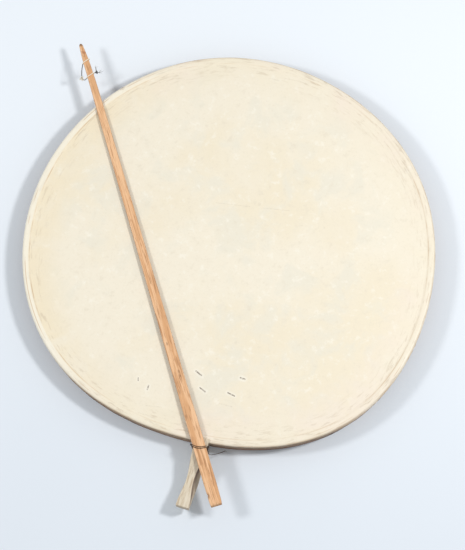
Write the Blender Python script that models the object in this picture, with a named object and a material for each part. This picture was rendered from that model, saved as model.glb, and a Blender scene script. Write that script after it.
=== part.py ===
"""Ceremonial hand drum of the far north: a bent wooden hoop covered with one thin skin, a carved handle
hooked over the rim, and a long flat wand tied across the front.

The drum lies on its open back with the skin upwards. Lengths are in metres and angles in degrees.
The pieces are modelled about the centre of the hoop, with the handle towards -Y. An empty then carries
them to the part's origin, which is under the middle of the whole, on the surface it lies on.
"""

import math

import bmesh
import bpy
from mathutils import Vector

# Hoop and skin
HOOP_RADIUS = 0.3002          # mean radius over the covered rim
HOOP_DEPTH = 0.038            # back edge to front edge
HOOP_THICKNESS = 0.009
OUTER_EDGE_ROUND = 0.003      # rounding of the front edge, outside
INNER_EDGE_ROUND = 0.002      # rounding of the front edge, inside
BACK_CHAMFER = 0.0012
SKIN_THICKNESS = 0.0008
SKIN_DIP = 0.0014             # how far the stretched skin lies below the rim's crest
DIP_SLOPE = 22.0              # how steeply the skin leaves the crest
FIT_GAP = 0.0003              # between pieces that touch

# The hoop was bent by hand: share of the radius, times round, and the side where it is fullest
OUT_OF_ROUND = ((0.0183, 2, -4.8), (0.0135, 3, -36.5), (0.0091, 4, 39.2), (0.0034, 5, 24.4))

# Cord that holds the skin in the groove round the hoop
CORD_DIAMETER = 0.0022
CORD_BELOW_FRONT = 0.0085     # front edge down to the middle of the cord
CORD_SUNK = 0.00015           # how far the cord lies below the covered side
GROOVE_FLARE = 0.0012         # how much wider the groove's mouth is than its floor, on each side
SKIRT_BELOW_CORD = 0.0040     # middle of the cord down to the trimmed edge of the skin

# Handle
HANDLE_SIDE = -86.35          # where on the rim it sits, seen from above
HANDLE_LEAN = 4.7             # how far it points away from straight down, towards -X
HANDLE_REACH = 0.0975         # rim to butt
LIP_REACH = 0.0065            # how far the lip hooks over the rim
LIP_THICKNESS = 0.0024
HEAD_LENGTH = 0.0125          # straight part of the head outside the rim
HEAD_WIDTH = 0.0195
HEAD_ABOVE_BACK = 0.0105      # hoop's back edge up to the underside of the head
WAIST_WIDTH = 0.0184
WAIST_THICKNESS = 0.0170
WAIST_SHIFT = 0.0030          # the left side is hollowed more, which moves the waist to the right
WAIST_DROP = 0.0070           # lip's top down to the top face at the waist
WAIST_PLACE = 0.056           # rim to the narrowest place
BUTT_WIDTH = 0.0200
BUTT_THICKNESS = 0.0225
BUTT_DROP = 0.0045            # lip's top down to the top face at the butt
SCOOP_WIDTH = 0.0072          # how far the scooped flank leans out at the waist
SCOOP_DEPTH = 0.0110          # how far down the scoop reaches
SCOOP_TURN = (0.7, 0.6)       # where the scoop turns steeper, as shares of its width and depth
HANDLE_ROUND = 0.0018         # rounding of the handle's long edges

# Wand
WAND_LENGTH = 0.726
WAND_BUTT_REACH = 0.0990      # rim to the wand's butt, along the wand
WAND_SKEW = 28.4              # angle between the wand and the drum's own axis
WAND_TIE_PLACE = 0.0065       # how far to the handle's left the wand crosses the rim
WAND_EDGE = 0.0010            # bevel of its long edges
WAND_TIP_SWEEP = 0.0014       # how far the tip bends to the left
WAND_SWEEP_LENGTH = 0.080     # how much of the wand shares in that bend
# Share of the length from the tip, width and thickness there
WAND_STATIONS = (
    (0.0000, 0.0026, 0.0020),
    (0.0035, 0.0052, 0.0032),
    (0.0120, 0.0066, 0.0036),
    (0.0380, 0.0094, 0.0038),
    (0.1200, 0.0112, 0.0040),
    (0.3000, 0.0124, 0.0042),
    (0.5000, 0.0136, 0.0044),
    (0.7000, 0.0158, 0.0047),
    (0.8600, 0.0180, 0.0050),
    (0.9300, 0.0184, 0.0050),
    (0.9920, 0.0176, 0.0048),
    (1.0000, 0.0158, 0.0038),
)

THREAD_GAP = 0.00045          # between a thread and what it goes round

# Dark thread that ties the wand to the handle
TIE_DIAMETER = 0.0013
TIE_FROM_RIM = 0.0058
TIE_SKEW = 16.0
TIE_TURNS = 2
TIE_PITCH = 0.0018
# Each knot: radius, how far it stands off the thread, and its way out from the thread across and up
TIE_KNOTS = ((0.0018, 0.0002, -0.6, 0.8), (0.0022, 0.0008, 1.0, 0.0))
# Loose end: away from the rim, to the handle's right, and below the lip's top
TIE_TAIL = ((0.0105, 0.0126, 0.0055), (0.0135, 0.0145, 0.0100), (0.0130, 0.0178, 0.0140),
            (0.0090, 0.0241, 0.0180), (0.0047, 0.0303, 0.0200), (0.0000, 0.0353, 0.0215))

# Pale thread near the wand's tip: distance from the tip along the wand
TIP_THREAD = 0.0014
TIP_LOOPS = (0.0290, 0.0522)
TIP_LOOP_SLANT = 0.0034       # how much further from the tip a loop lies on its left than on its right
LEFT_KNOT = (0.0535, -0.0138)   # from the tip, and across the wand
LEFT_KNOT_RADIUS = 0.0021
STRAND_BOW = 0.0012           # how far the strand above the left knot bows outwards
RIGHT_KNOT = (0.0500, 0.0100)
RIGHT_KNOT_RADIUS = 0.0015
RIGHT_END = (0.0415, 0.0112)

# Fineness of the meshes
HOOP_SEGMENTS = 72
CORD_SIDES = 8
THREAD_SIDES = 8

COLOURS = {
    "bent_wood": (0.42, 0.27, 0.15), "skin": (0.90, 0.82, 0.68), "braided_sinew": (0.45, 0.33, 0.21),
    "handle_wood": (0.72, 0.62, 0.48), "wand_wood": (0.76, 0.46, 0.25), "dark_thread": (0.07, 0.04, 0.03),
    "pale_thread": (0.82, 0.75, 0.64),
}

# Worked out from the sizes above
COVER = SKIN_THICKNESS + FIT_GAP
CREST_TOP = HOOP_DEPTH + COVER
LIP_TOP = CREST_TOP + FIT_GAP + LIP_THICKNESS
CORD_HEIGHT = HOOP_DEPTH - CORD_BELOW_FRONT
GROOVE_DEPTH = CORD_DIAMETER + FIT_GAP + CORD_SUNK
GROOVE_WALL = math.atan2(GROOVE_DEPTH, GROOVE_FLARE)
GROOVE_FLOOR = CORD_DIAMETER / 2 + FIT_GAP + COVER * math.tan(GROOVE_WALL / 2)


def clear_scene():
    for old in list(bpy.data.objects):
        bpy.data.objects.remove(old, do_unlink=True)


def new_collection(name):
    found = bpy.data.collections.new(name)
    bpy.context.scene.collection.children.link(found)
    return found


def new_material(name, roughness):
    material = bpy.data.materials.new(name)
    material.use_nodes = True
    shader = material.node_tree.nodes["Principled BSDF"]
    shader.inputs["Base Color"].default_value = (*COLOURS[name], 1.0)
    shader.inputs["Roughness"].default_value = roughness
    shader.inputs["Metallic"].default_value = 0.0
    return material


def object_from_bmesh(name, bm, collection, sharp_angle=40.0):
    """Closes the work on a bmesh: faces outwards, smooth shading, one linked object."""
    bmesh.ops.recalc_face_normals(bm, faces=bm.faces)
    mesh = bpy.data.meshes.new(name)
    bm.to_mesh(mesh)
    bm.free()
    mesh.shade_smooth()
    mesh.set_sharp_from_angle(angle=math.radians(sharp_angle))
    made = bpy.data.objects.new(name, mesh)
    collection.objects.link(made)
    return made


def boolean(target, other, operation):
    """Adds an exact Boolean to the target and keeps the other object out of the build."""
    modifier = target.modifiers.new(operation.lower(), "BOOLEAN")
    modifier.operation = operation
    modifier.solver = "EXACT"
    modifier.object = other
    other.hide_render = True
    other.display_type = "WIRE"


# Outline of the covered rim, seen from above

def rim_radius(angle):
    swell = sum(share * math.cos(times * (angle - math.radians(side))) for share, times, side in OUT_OF_ROUND)
    return HOOP_RADIUS * (1 + swell)


def rim_point(angle, inset=0.0, height=0.0):
    radius = rim_radius(angle) - inset
    return Vector((radius * math.cos(angle), radius * math.sin(angle), height))


# Sections through the rim: each point is (distance in from the covered outline, height)

def arc(centre, radius, start, end, steps):
    """Points on an arc. An angle of 0 points towards the drum's middle and 90 points up."""
    angles = [math.radians(start + (end - start) * i / steps) for i in range(steps + 1)]
    return [(centre[0] + radius * math.cos(a), centre[1] + radius * math.sin(a)) for a in angles]


def offset_path(points, distance):
    """The same open path, moved sideways to its left by a distance, with mitred corners."""
    sides = []
    for (x0, z0), (x1, z1) in zip(points, points[1:]):
        length = math.hypot(x1 - x0, z1 - z0)
        sides.append(((z1 - z0) / length, -(x1 - x0) / length))
    moved = []
    for i, (x, z) in enumerate(points):
        before = sides[max(i - 1, 0)]
        after = sides[min(i, len(sides) - 1)]
        reach = distance / (1 + before[0] * after[0] + before[1] * after[1])
        moved.append((x + reach * (before[0] + after[0]), z + reach * (before[1] + after[1])))
    return moved


def groove_path():
    """The groove in the hoop's outer side, from its upper lip down to its lower lip."""
    floor = COVER + GROOVE_DEPTH
    mouth = GROOVE_FLOOR + GROOVE_FLARE
    return [
        (COVER, CORD_HEIGHT + mouth), (floor, CORD_HEIGHT + GROOVE_FLOOR),
        (floor, CORD_HEIGHT - GROOVE_FLOOR), (COVER, CORD_HEIGHT - mouth),
    ]


def outer_edge():
    centre = (COVER + OUTER_EDGE_ROUND, HOOP_DEPTH - OUTER_EDGE_ROUND)
    return arc(centre, OUTER_EDGE_ROUND, 90, 180, 2)


def inner_edge(lowest, steps):
    centre = (COVER + HOOP_THICKNESS - INNER_EDGE_ROUND, HOOP_DEPTH - INNER_EDGE_ROUND)
    return arc(centre, INNER_EDGE_ROUND, lowest, 90, steps)


def skin_bed():
    """What the skin lies on, from the middle of the head over the rim and down to its trimmed edge."""
    slope_start = inner_edge(90 - DIP_SLOPE, 1)
    head_height = HOOP_DEPTH - SKIN_DIP
    run = (slope_start[0][1] - head_height) / math.tan(math.radians(DIP_SLOPE))
    foot = (slope_start[0][0] + run, head_height)
    trimmed_edge = (COVER, CORD_HEIGHT - SKIRT_BELOW_CORD)
    return [(HOOP_RADIUS, head_height), foot, *slope_start, *outer_edge(), *groove_path(), trimmed_edge]


def hoop_section():
    inner = COVER + HOOP_THICKNESS
    back = [
        (COVER, BACK_CHAMFER), (COVER + BACK_CHAMFER, 0.0), (inner - BACK_CHAMFER, 0.0), (inner, BACK_CHAMFER),
    ]
    return [*inner_edge(0, 2), *outer_edge(), *groove_path(), *back]


def skin_section():
    bed = skin_bed()
    return [*offset_path(bed, COVER), *reversed(offset_path(bed, FIT_GAP))]


def cord_section():
    radius = CORD_DIAMETER / 2
    centre = (GROOVE_DEPTH - FIT_GAP - radius, CORD_HEIGHT)
    return arc(centre, radius, 0, 360, CORD_SIDES)[:-1]


def turned_ring(name, section, collection, closed=True):
    """Turns a section about the drum's axis, then lets it follow the hand-bent outline."""
    bm = bmesh.new()
    profile = [bm.verts.new((HOOP_RADIUS - inset, 0.0, height)) for inset, height in section]
    pairs = list(zip(profile, profile[1:]))
    if closed:
        pairs.append((profile[-1], profile[0]))
    edges = [bm.edges.new(pair) for pair in pairs]
    bmesh.ops.spin(bm, geom=profile + edges, cent=(0, 0, 0), axis=(0, 0, 1), angle=math.tau,
                   steps=HOOP_SEGMENTS, use_merge=True)
    bmesh.ops.remove_doubles(bm, verts=bm.verts, dist=1e-5)
    on_axis = 1e-4
    for vertex in bm.verts:
        radius = math.hypot(vertex.co.x, vertex.co.y)
        if radius > on_axis:
            angle = math.atan2(vertex.co.y, vertex.co.x)
            vertex.co = rim_point(angle, HOOP_RADIUS - radius, vertex.co.z)
    return object_from_bmesh(name, bm, collection)


# The handle's own directions: out from the rim, across to its right, and height

HANDLE_ANGLE = math.radians(HANDLE_SIDE)
HANDLE_OUT = Vector((-math.sin(math.radians(HANDLE_LEAN)), -math.cos(math.radians(HANDLE_LEAN)), 0.0))
HANDLE_ACROSS = Vector((-HANDLE_OUT.y, HANDLE_OUT.x, 0.0))
HANDLE_ROOT = rim_point(HANDLE_ANGLE)


def handle_point(out, across, height):
    return HANDLE_ROOT + out * HANDLE_OUT + across * HANDLE_ACROSS + Vector((0.0, 0.0, height))


def ease(low, high, share):
    share = min(max(share, 0.0), 1.0)
    return low + (high - low) * share * share * (3 - 2 * share)


def handle_size(out, head, waist, butt):
    """A size of the handle at a distance from the rim, eased from its head to its waist to its butt."""
    if out < WAIST_PLACE:
        return ease(head, waist, (out - HEAD_LENGTH) / (WAIST_PLACE - HEAD_LENGTH))
    return ease(waist, butt, (out - WAIST_PLACE) / (HANDLE_REACH - WAIST_PLACE))


def handle_ring(out, shrink=0.0):
    """One section of the handle: flat top, scooped right flank, rounded long edges.

    The points run from the top of the left side over the top face and the scoop to the underside.
    """
    head_thickness = LIP_TOP - HEAD_ABOVE_BACK
    half = handle_size(out, HEAD_WIDTH, WAIST_WIDTH, BUTT_WIDTH) / 2 - shrink
    shift = handle_size(out, 0.0, WAIST_SHIFT, 0.0)
    thickness = handle_size(out, head_thickness, WAIST_THICKNESS, BUTT_THICKNESS)
    top = LIP_TOP - handle_size(out, 0.0, WAIST_DROP, BUTT_DROP) - shrink
    bottom = top - thickness + 2 * shrink
    lean = handle_size(out, 0.0, SCOOP_WIDTH, 0.0)
    left, right, edge = shift - half, shift + half, HANDLE_ROUND
    scoop = min(SCOOP_DEPTH, thickness - 2 * edge)
    section = [
        (left, top - edge), (left + 0.3 * edge, top - 0.3 * edge), (left + edge, top),
        (right - lean - edge, top), (right - lean - 0.3 * edge, top - 0.3 * edge), (right - lean, top - edge),
        (right - SCOOP_TURN[0] * lean, top - SCOOP_TURN[1] * scoop), (right, top - scoop),
        (right, bottom + edge), (right - edge, bottom), (left + edge, bottom), (left, bottom + edge),
    ]
    return [handle_point(out, across, height) for across, height in section]


def loft(name, rings, collection):
    """Joins rings of equally many points into one closed solid."""
    bm = bmesh.new()
    rows = [[bm.verts.new(point) for point in ring] for ring in rings]
    count = len(rows[0])
    for low, high in zip(rows, rows[1:]):
        for i in range(count):
            j = (i + 1) % count
            bm.faces.new((low[i], low[j], high[j], high[i]))
    bm.faces.new(rows[0])
    bm.faces.new(rows[-1])
    return object_from_bmesh(name, bm, collection)


def rim_cutter(collection):
    """The space that the covered rim fills in the handle's notch, with the fit gap round it."""
    gap = COVER + FIT_GAP
    far = 0.03
    bed = [(far, HOOP_DEPTH), *outer_edge(), (COVER, -far)]
    section = [*offset_path(bed, gap), (far, -far)]
    step = math.tau / HOOP_SEGMENTS
    first = math.floor(HANDLE_ANGLE / step) - 1
    angles = [i * step for i in range(first, first + 4)]
    rings = [[rim_point(angle, inset, height) for inset, height in section] for angle in angles]
    return loft("rim_space", rings, collection)


def make_handle(collection, cutters):
    stations = [-LIP_REACH, 0.0, HEAD_LENGTH]
    free = HANDLE_REACH - HEAD_LENGTH
    stations += [HEAD_LENGTH + free * share for share in (0.10, 0.2, 0.3, 0.4, 0.5, 0.62, 0.75, 0.88, 0.98)]
    rings = [handle_ring(out) for out in stations]
    rings.append(handle_ring(HANDLE_REACH, shrink=HANDLE_ROUND / 3))
    handle = loft("handle", rings, collection)
    boolean(handle, rim_cutter(cutters), "DIFFERENCE")
    return handle


# The wand's own directions: along it from the tip, across to its right, and up

WAND_RUN = Vector((math.sin(math.radians(WAND_SKEW)), -math.cos(math.radians(WAND_SKEW)), 0.0))
WAND_ACROSS = Vector((-WAND_RUN.y, WAND_RUN.x, 0.0))
WAND_CROSSING = handle_point(0.0, -WAND_TIE_PLACE, 0.0)
WAND_TIP = WAND_CROSSING - (WAND_LENGTH - WAND_BUTT_REACH) * WAND_RUN


def far_crossing():
    """Distance from the wand's tip to where its axis first comes over the rim."""
    low, high = 0.0, WAND_LENGTH / 2
    for _ in range(50):
        middle = (low + high) / 2
        place = WAND_TIP + middle * WAND_RUN
        if place.length > rim_radius(math.atan2(place.y, place.x)):
            low = middle
        else:
            high = middle
    return low


WAND_FAR = far_crossing()
WAND_NEAR = (WAND_LENGTH - WAND_BUTT_REACH) - LIP_REACH / math.cos(math.radians(WAND_SKEW + HANDLE_LEAN))


def wand_underside(along):
    """Height of the wand's flat underside, which rests on the far rim and on the handle's lip."""
    rise = (LIP_TOP - CREST_TOP) / (WAND_NEAR - WAND_FAR)
    return CREST_TOP + FIT_GAP + rise * (along - WAND_FAR)


def wand_size(along):
    """Width and thickness at a distance from the tip."""
    share = min(max(along / WAND_LENGTH, 0.0), 1.0)
    for (s0, w0, t0), (s1, w1, t1) in zip(WAND_STATIONS, WAND_STATIONS[1:]):
        if share <= s1:
            part = (share - s0) / (s1 - s0)
            return w0 + part * (w1 - w0), t0 + part * (t1 - t0)
    return WAND_STATIONS[-1][1:]


def wand_point(along, across, lift):
    """A point at a distance from the tip, across the wand, and above its underside."""
    level = Vector((0.0, 0.0, wand_underside(along) + lift))
    bend = max(1 - along / WAND_SWEEP_LENGTH, 0.0) ** 2
    return WAND_TIP + along * WAND_RUN + (across - WAND_TIP_SWEEP * bend) * WAND_ACROSS + level


def make_wand(collection):
    rings = []
    for share, width, thickness in WAND_STATIONS:
        half, edge = width / 2, min(WAND_EDGE, width / 4, thickness / 4)
        section = [
            (-half, edge), (-half + edge, 0.0), (half - edge, 0.0), (half, edge),
            (half, thickness - edge), (half - edge, thickness), (-half + edge, thickness), (-half, thickness - edge),
        ]
        rings.append([wand_point(share * WAND_LENGTH, across, lift) for across, lift in section])
    return loft("wand", rings, collection)


# Threads and knots

def thread(name, points, diameter, collection, closed=False):
    """A round thread along points, as a welded mesh."""
    curve = bpy.data.curves.new(name, "CURVE")
    curve.dimensions = "3D"
    curve.bevel_depth = diameter / 2
    curve.bevel_resolution = THREAD_SIDES // 2 - 2
    curve.use_fill_caps = not closed
    spline = curve.splines.new("POLY")
    spline.points.add(len(points) - 1)
    for target, point in zip(spline.points, points):
        target.co = (*point, 1.0)
    spline.use_cyclic_u = closed
    guide = bpy.data.objects.new(name + "_line", curve)
    collection.objects.link(guide)
    bpy.context.view_layer.update()
    solid = bpy.data.meshes.new_from_object(guide.evaluated_get(bpy.context.evaluated_depsgraph_get()))
    place = guide.matrix_world.copy()
    bpy.data.objects.remove(guide, do_unlink=True)
    bm = bmesh.new()
    bm.from_mesh(solid)
    bmesh.ops.remove_doubles(bm, verts=bm.verts, dist=1e-6)
    bpy.data.meshes.remove(solid)
    made = object_from_bmesh(name, bm, collection)
    made.matrix_world = place
    return made


def knot(name, centre, radius, collection):
    bm = bmesh.new()
    bmesh.ops.create_uvsphere(bm, u_segments=8, v_segments=6, radius=radius)
    bmesh.ops.translate(bm, verts=bm.verts, vec=centre)
    return object_from_bmesh(name, bm, collection)


def hull(points):
    """Corners of the tight loop round some flat points, counter-clockwise."""
    points = sorted(set(points))

    def half(sequence):
        chain = []
        for point in sequence:
            while len(chain) > 1 and turn(chain[-2], chain[-1], point) <= 0:
                chain.pop()
            chain.append(point)
        return chain[:-1]

    return half(points) + half(points[::-1])


def turn(a, b, c):
    return (b[0] - a[0]) * (c[1] - a[1]) - (b[1] - a[1]) * (c[0] - a[0])


def tight_loop(corners, clearance):
    """A loop drawn round corners, kept clear of them, with each corner rounded."""
    sides = 8
    circle = [math.tau * (i + 0.5) / sides for i in range(sides)]
    reach = clearance / math.cos(math.pi / sides)
    return hull([(x + reach * math.cos(a), z + reach * math.sin(a)) for x, z in corners for a in circle])


def tie_frame():
    """Middle, crosswise and facing directions of the thread's turns round the wand and the handle."""
    skew = math.radians(TIE_SKEW)
    across = math.cos(skew) * HANDLE_ACROSS - math.sin(skew) * HANDLE_OUT
    facing = math.cos(skew) * HANDLE_OUT + math.sin(skew) * HANDLE_ACROSS
    return handle_point(TIE_FROM_RIM, 0.0, 0.0), across, facing


def head_side():
    """Half the width of the handle's head, measured along the slanting turns."""
    return HEAD_WIDTH / 2 / math.cos(math.radians(TIE_SKEW))


def tie_corners(shift):
    """What a turn goes round, this far out along the handle: the wand's edges and the head's corners."""
    middle, across, facing = tie_frame()
    middle = middle + shift * HANDLE_OUT
    corners = []
    for side in (-1, 1):
        along = WAND_LENGTH - WAND_BUTT_REACH
        for _ in range(4):
            width, thickness = wand_size(along)
            place = wand_point(along, side * width / 2, 0.0)
            along -= (place - middle).dot(facing) / WAND_RUN.dot(facing)
        x = (place - middle).dot(across)
        corners += [(x, place.z), (x, place.z + thickness)]
        corners += [(side * head_side(), height) for height in (HEAD_ABOVE_BACK, LIP_TOP)]
    return corners


def make_wand_tie(collection, cutters):
    middle, across, _ = tie_frame()
    clearance = TIE_DIAMETER / 2 + THREAD_GAP
    route = []
    for turn_number in range(TIE_TURNS):
        start = TIE_PITCH * turn_number
        corners = tie_corners(start) + tie_corners(start + TIE_PITCH)
        loop = tight_loop(corners, clearance)
        first = min(range(len(loop)), key=lambda i: math.dist(loop[i], (head_side(), LIP_TOP)))
        loop = loop[first:] + loop[:first]
        for i, (x, z) in enumerate(loop):
            shift = start + TIE_PITCH * i / len(loop)
            route.append(middle + x * across + shift * HANDLE_OUT + Vector((0.0, 0.0, z)))
    x, z = loop[0]
    route.append(middle + x * across + TIE_TURNS * TIE_PITCH * HANDLE_OUT + Vector((0.0, 0.0, z)))
    tail = [handle_point(out, side, LIP_TOP - below) for out, side, below in TIE_TAIL]
    tie = thread("wand_tie", route + tail, TIE_DIAMETER, collection)

    for radius, standoff, sideways, upwards in TIE_KNOTS:
        outward = sideways * across + Vector((0.0, 0.0, upwards))
        place = max((point for point in route if point.z > LIP_TOP), key=lambda point: point.dot(outward))
        place = place + (radius + FIT_GAP - clearance + standoff) * outward
        boolean(tie, knot("tie_knot", place, radius, cutters), "UNION")
    return tie


def loop_round_wand(name, along, collection):
    """One closed turn of the pale thread, slanting a little across the wand."""
    width, thickness = wand_size(along)
    corners = [(side * width / 2, height) for side in (-1, 1) for height in (0.0, thickness)]
    clearance = TIP_THREAD / 2 + THREAD_GAP
    points = []
    for across, lift in tight_loop(corners, clearance):
        slant = -TIP_LOOP_SLANT * across / width
        points.append(wand_point(along + slant, across, lift))
    return thread(name, points, TIP_THREAD, collection, closed=True)


def make_tip_tie(collection, cutters):
    first, second = TIP_LOOPS
    clearance = TIP_THREAD / 2 + THREAD_GAP
    tie = loop_round_wand("tip_tie", first, collection)
    width, thickness = wand_size(first)
    second_width = wand_size(second)[0]
    middle = thickness / 2
    left_edge = -width / 2 - clearance
    first_left = wand_point(first + TIP_LOOP_SLANT / 2, left_edge, middle)
    second_left = wand_point(second + TIP_LOOP_SLANT / 2, -second_width / 2 - clearance, middle)
    second_right = wand_point(second - TIP_LOOP_SLANT / 2, second_width / 2 + clearance, middle)
    left = wand_point(*LEFT_KNOT, middle)
    right = wand_point(*RIGHT_KNOT, middle)
    end = wand_point(*RIGHT_END, middle)
    bow = wand_point((first + LEFT_KNOT[0]) / 2, (left_edge + LEFT_KNOT[1]) / 2 - STRAND_BOW, middle)
    others = [
        thread("tip_strand", [first_left, bow, left], TIP_THREAD, cutters),
        thread("tip_link", [left, second_left], TIP_THREAD, cutters),
        loop_round_wand("tip_second_loop", second, cutters),
        thread("tip_end", [second_right, right, end], TIP_THREAD, cutters),
        knot("tip_left_knot", left, LEFT_KNOT_RADIUS, cutters),
        knot("tip_right_knot", right, RIGHT_KNOT_RADIUS, cutters),
    ]
    for other in others:
        boolean(tie, other, "UNION")
    return tie


def carry_to_origin(pieces):
    """Moves everything so that the origin is under the middle of the whole part."""
    bpy.context.view_layer.update()
    depsgraph = bpy.context.evaluated_depsgraph_get()
    corners = []
    for piece in pieces:
        solid = piece.evaluated_get(depsgraph)
        corners += [solid.matrix_world @ vertex.co for vertex in solid.data.vertices]
    middle = [(min(c[i] for c in corners) + max(c[i] for c in corners)) / 2 for i in (0, 1)]
    carrier = bpy.data.objects.new("drum_frame", None)
    bpy.context.scene.collection.objects.link(carrier)
    carrier.location = (-middle[0], -middle[1], 0.0)
    for made in [obj for obj in bpy.data.objects if obj.type == "MESH"]:
        made.parent = carrier


def build():
    clear_scene()
    parts = new_collection("ceremonial_drum")
    cutters = new_collection("cutters")

    hoop = turned_ring("hoop", hoop_section(), parts)
    drumhead = turned_ring("drumhead", skin_section(), parts, closed=False)
    head_cord = turned_ring("head_cord", cord_section(), parts)
    handle = make_handle(parts, cutters)
    wand = make_wand(parts)
    wand_tie = make_wand_tie(parts, cutters)
    tip_tie = make_tip_tie(parts, cutters)

    finishes = (
        (hoop, "bent_wood", 0.6), (drumhead, "skin", 0.55), (head_cord, "braided_sinew", 0.7),
        (handle, "handle_wood", 0.55), (wand, "wand_wood", 0.5), (wand_tie, "dark_thread", 0.7),
        (tip_tie, "pale_thread", 0.6),
    )
    for piece, colour, roughness in finishes:
        piece.data.materials.append(new_material(colour, roughness))
    carry_to_origin([piece for piece, _, _ in finishes])


build()
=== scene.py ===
"""Looks of the ceremonial hand drum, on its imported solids.

Each solid is replaced by a finer piece of the same shape in the same place: the skin with its puckered and
trimmed skirt, the bent hoop with its lapped ends, a braided cord, the carved handle, the split wand and
twisted threads with real knots. Lengths are in metres and angles in degrees.
"""

import math

import bmesh
import bpy
import numpy as np
from mathutils import Matrix, Vector, noise


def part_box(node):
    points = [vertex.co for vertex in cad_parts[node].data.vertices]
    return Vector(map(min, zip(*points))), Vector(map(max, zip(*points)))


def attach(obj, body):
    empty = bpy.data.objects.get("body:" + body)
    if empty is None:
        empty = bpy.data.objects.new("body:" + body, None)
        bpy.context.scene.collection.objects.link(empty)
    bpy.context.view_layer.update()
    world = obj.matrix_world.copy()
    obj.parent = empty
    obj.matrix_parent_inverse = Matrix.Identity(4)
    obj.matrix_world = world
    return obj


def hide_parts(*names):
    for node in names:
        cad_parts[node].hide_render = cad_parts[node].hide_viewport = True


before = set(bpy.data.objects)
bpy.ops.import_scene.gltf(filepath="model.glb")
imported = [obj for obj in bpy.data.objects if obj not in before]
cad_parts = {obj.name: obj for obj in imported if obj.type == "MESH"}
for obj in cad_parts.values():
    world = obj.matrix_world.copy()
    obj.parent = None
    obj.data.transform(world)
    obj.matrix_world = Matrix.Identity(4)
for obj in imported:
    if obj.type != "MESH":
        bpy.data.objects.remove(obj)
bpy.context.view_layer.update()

# Sizes that the frame gives

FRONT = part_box("hoop")[1].z
CREST_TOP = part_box("drumhead")[1].z
TRIM_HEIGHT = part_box("drumhead")[0].z
LIP_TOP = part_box("handle")[1].z
CORD_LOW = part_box("head_cord")[0].z
CORD_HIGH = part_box("head_cord")[1].z

# Sizes shared with the solids

HOOP_RADIUS = 0.3002
OUT_OF_ROUND = ((0.0183, 2, -4.8), (0.0135, 3, -36.5), (0.0091, 4, 39.2), (0.0034, 5, 24.4))
CAD_SEGMENTS = 72
HOOP_THICKNESS = 0.009
OUTER_EDGE_ROUND = 0.003
INNER_EDGE_ROUND = 0.002
BACK_CHAMFER = 0.0012
SKIN_DIP = 0.0014
DIP_SLOPE = 22.0
FIT_GAP = 0.0003
CORD_SUNK = 0.00015
GROOVE_FLARE = 0.0012
HANDLE_SIDE = -86.35
HANDLE_LEAN = 4.7
HANDLE_REACH = 0.0975
LIP_REACH = 0.0065
HEAD_LENGTH = 0.0125
HEAD_WIDTH = 0.0195
HEAD_ABOVE_BACK = 0.0105
WAIST_WIDTH = 0.0184
WAIST_THICKNESS = 0.0170
WAIST_SHIFT = 0.0030
WAIST_DROP = 0.0070
WAIST_PLACE = 0.056
BUTT_WIDTH = 0.0200
BUTT_THICKNESS = 0.0225
BUTT_DROP = 0.0045
SCOOP_WIDTH = 0.0072
SCOOP_DEPTH = 0.0110
SCOOP_TURN = (0.7, 0.6)
WAND_LENGTH = 0.726
WAND_BUTT_REACH = 0.0990
WAND_SKEW = 28.4
WAND_TIE_PLACE = 0.0065
WAND_TIP_SWEEP = 0.0014
WAND_SWEEP_LENGTH = 0.080
# Share of the length from the tip, width and thickness there
WAND_STATIONS = (
    (0.0000, 0.0026, 0.0020),
    (0.0035, 0.0052, 0.0032),
    (0.0120, 0.0066, 0.0036),
    (0.0380, 0.0094, 0.0038),
    (0.1200, 0.0112, 0.0040),
    (0.3000, 0.0124, 0.0042),
    (0.5000, 0.0136, 0.0044),
    (0.7000, 0.0158, 0.0047),
    (0.8600, 0.0180, 0.0050),
    (0.9300, 0.0184, 0.0050),
    (0.9920, 0.0176, 0.0048),
    (1.0000, 0.0158, 0.0038),
)
TIE_DIAMETER = 0.0013
TIE_FROM_RIM = 0.0058
TIE_SKEW = 16.0
TIE_TURNS = 2
TIE_PITCH = 0.0018
# Loose end of the dark thread: away from the rim, to the handle's right, and below the lip's top
TIE_TAIL = ((0.0105, 0.0126, 0.0055), (0.0135, 0.0145, 0.0100), (0.0130, 0.0178, 0.0140),
            (0.0090, 0.0241, 0.0180), (0.0047, 0.0303, 0.0200), (0.0000, 0.0353, 0.0215))
TIP_THREAD = 0.0014
TIP_LOOPS = (0.0290, 0.0522)
TIP_LOOP_SLANT = 0.0034
LEFT_KNOT = (0.0535, -0.0138)
RIGHT_KNOT = (0.0500, 0.0100)
RIGHT_END = (0.0415, 0.0112)
STRAND_BOW = 0.0012

# Worked out from the sizes above

COVER = CREST_TOP - FRONT
CORD_DIAMETER = CORD_HIGH - CORD_LOW
CORD_HEIGHT = (CORD_HIGH + CORD_LOW) / 2
GROOVE_DEPTH = CORD_DIAMETER + FIT_GAP + CORD_SUNK
GROOVE_WALL = math.atan2(GROOVE_DEPTH, GROOVE_FLARE)
GROOVE_FLOOR = CORD_DIAMETER / 2 + FIT_GAP + COVER * math.tan(GROOVE_WALL / 2)

# Fineness of the meshes

SKIN_SEGMENTS = 720
HOOP_SEGMENTS = 540
ARC_STEPS = 6
SKIN_TOP_STEP = 0.0010
SKIN_UNDER_STEP = 0.0035
HOOP_STEP = 0.003
THREAD_STEP = 0.0006


# Chance and shape helpers

def around(angles, seed, slowest, fastest, waves=7):
    """A smooth random wave round the drum that closes on itself, mostly between -1 and 1."""
    chance = np.random.default_rng(seed)
    times = chance.integers(slowest, fastest + 1, waves)
    starts = chance.uniform(0, math.tau, waves)
    return sum(np.cos(t * angles + s) for t, s in zip(times, starts)) / math.sqrt(waves)


def smooth(low, high, value):
    """0 below low, 1 above high, and a smooth rise between them."""
    share = np.clip((value - low) / (high - low), 0.0, 1.0)
    return share * share * (3 - 2 * share)


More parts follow.
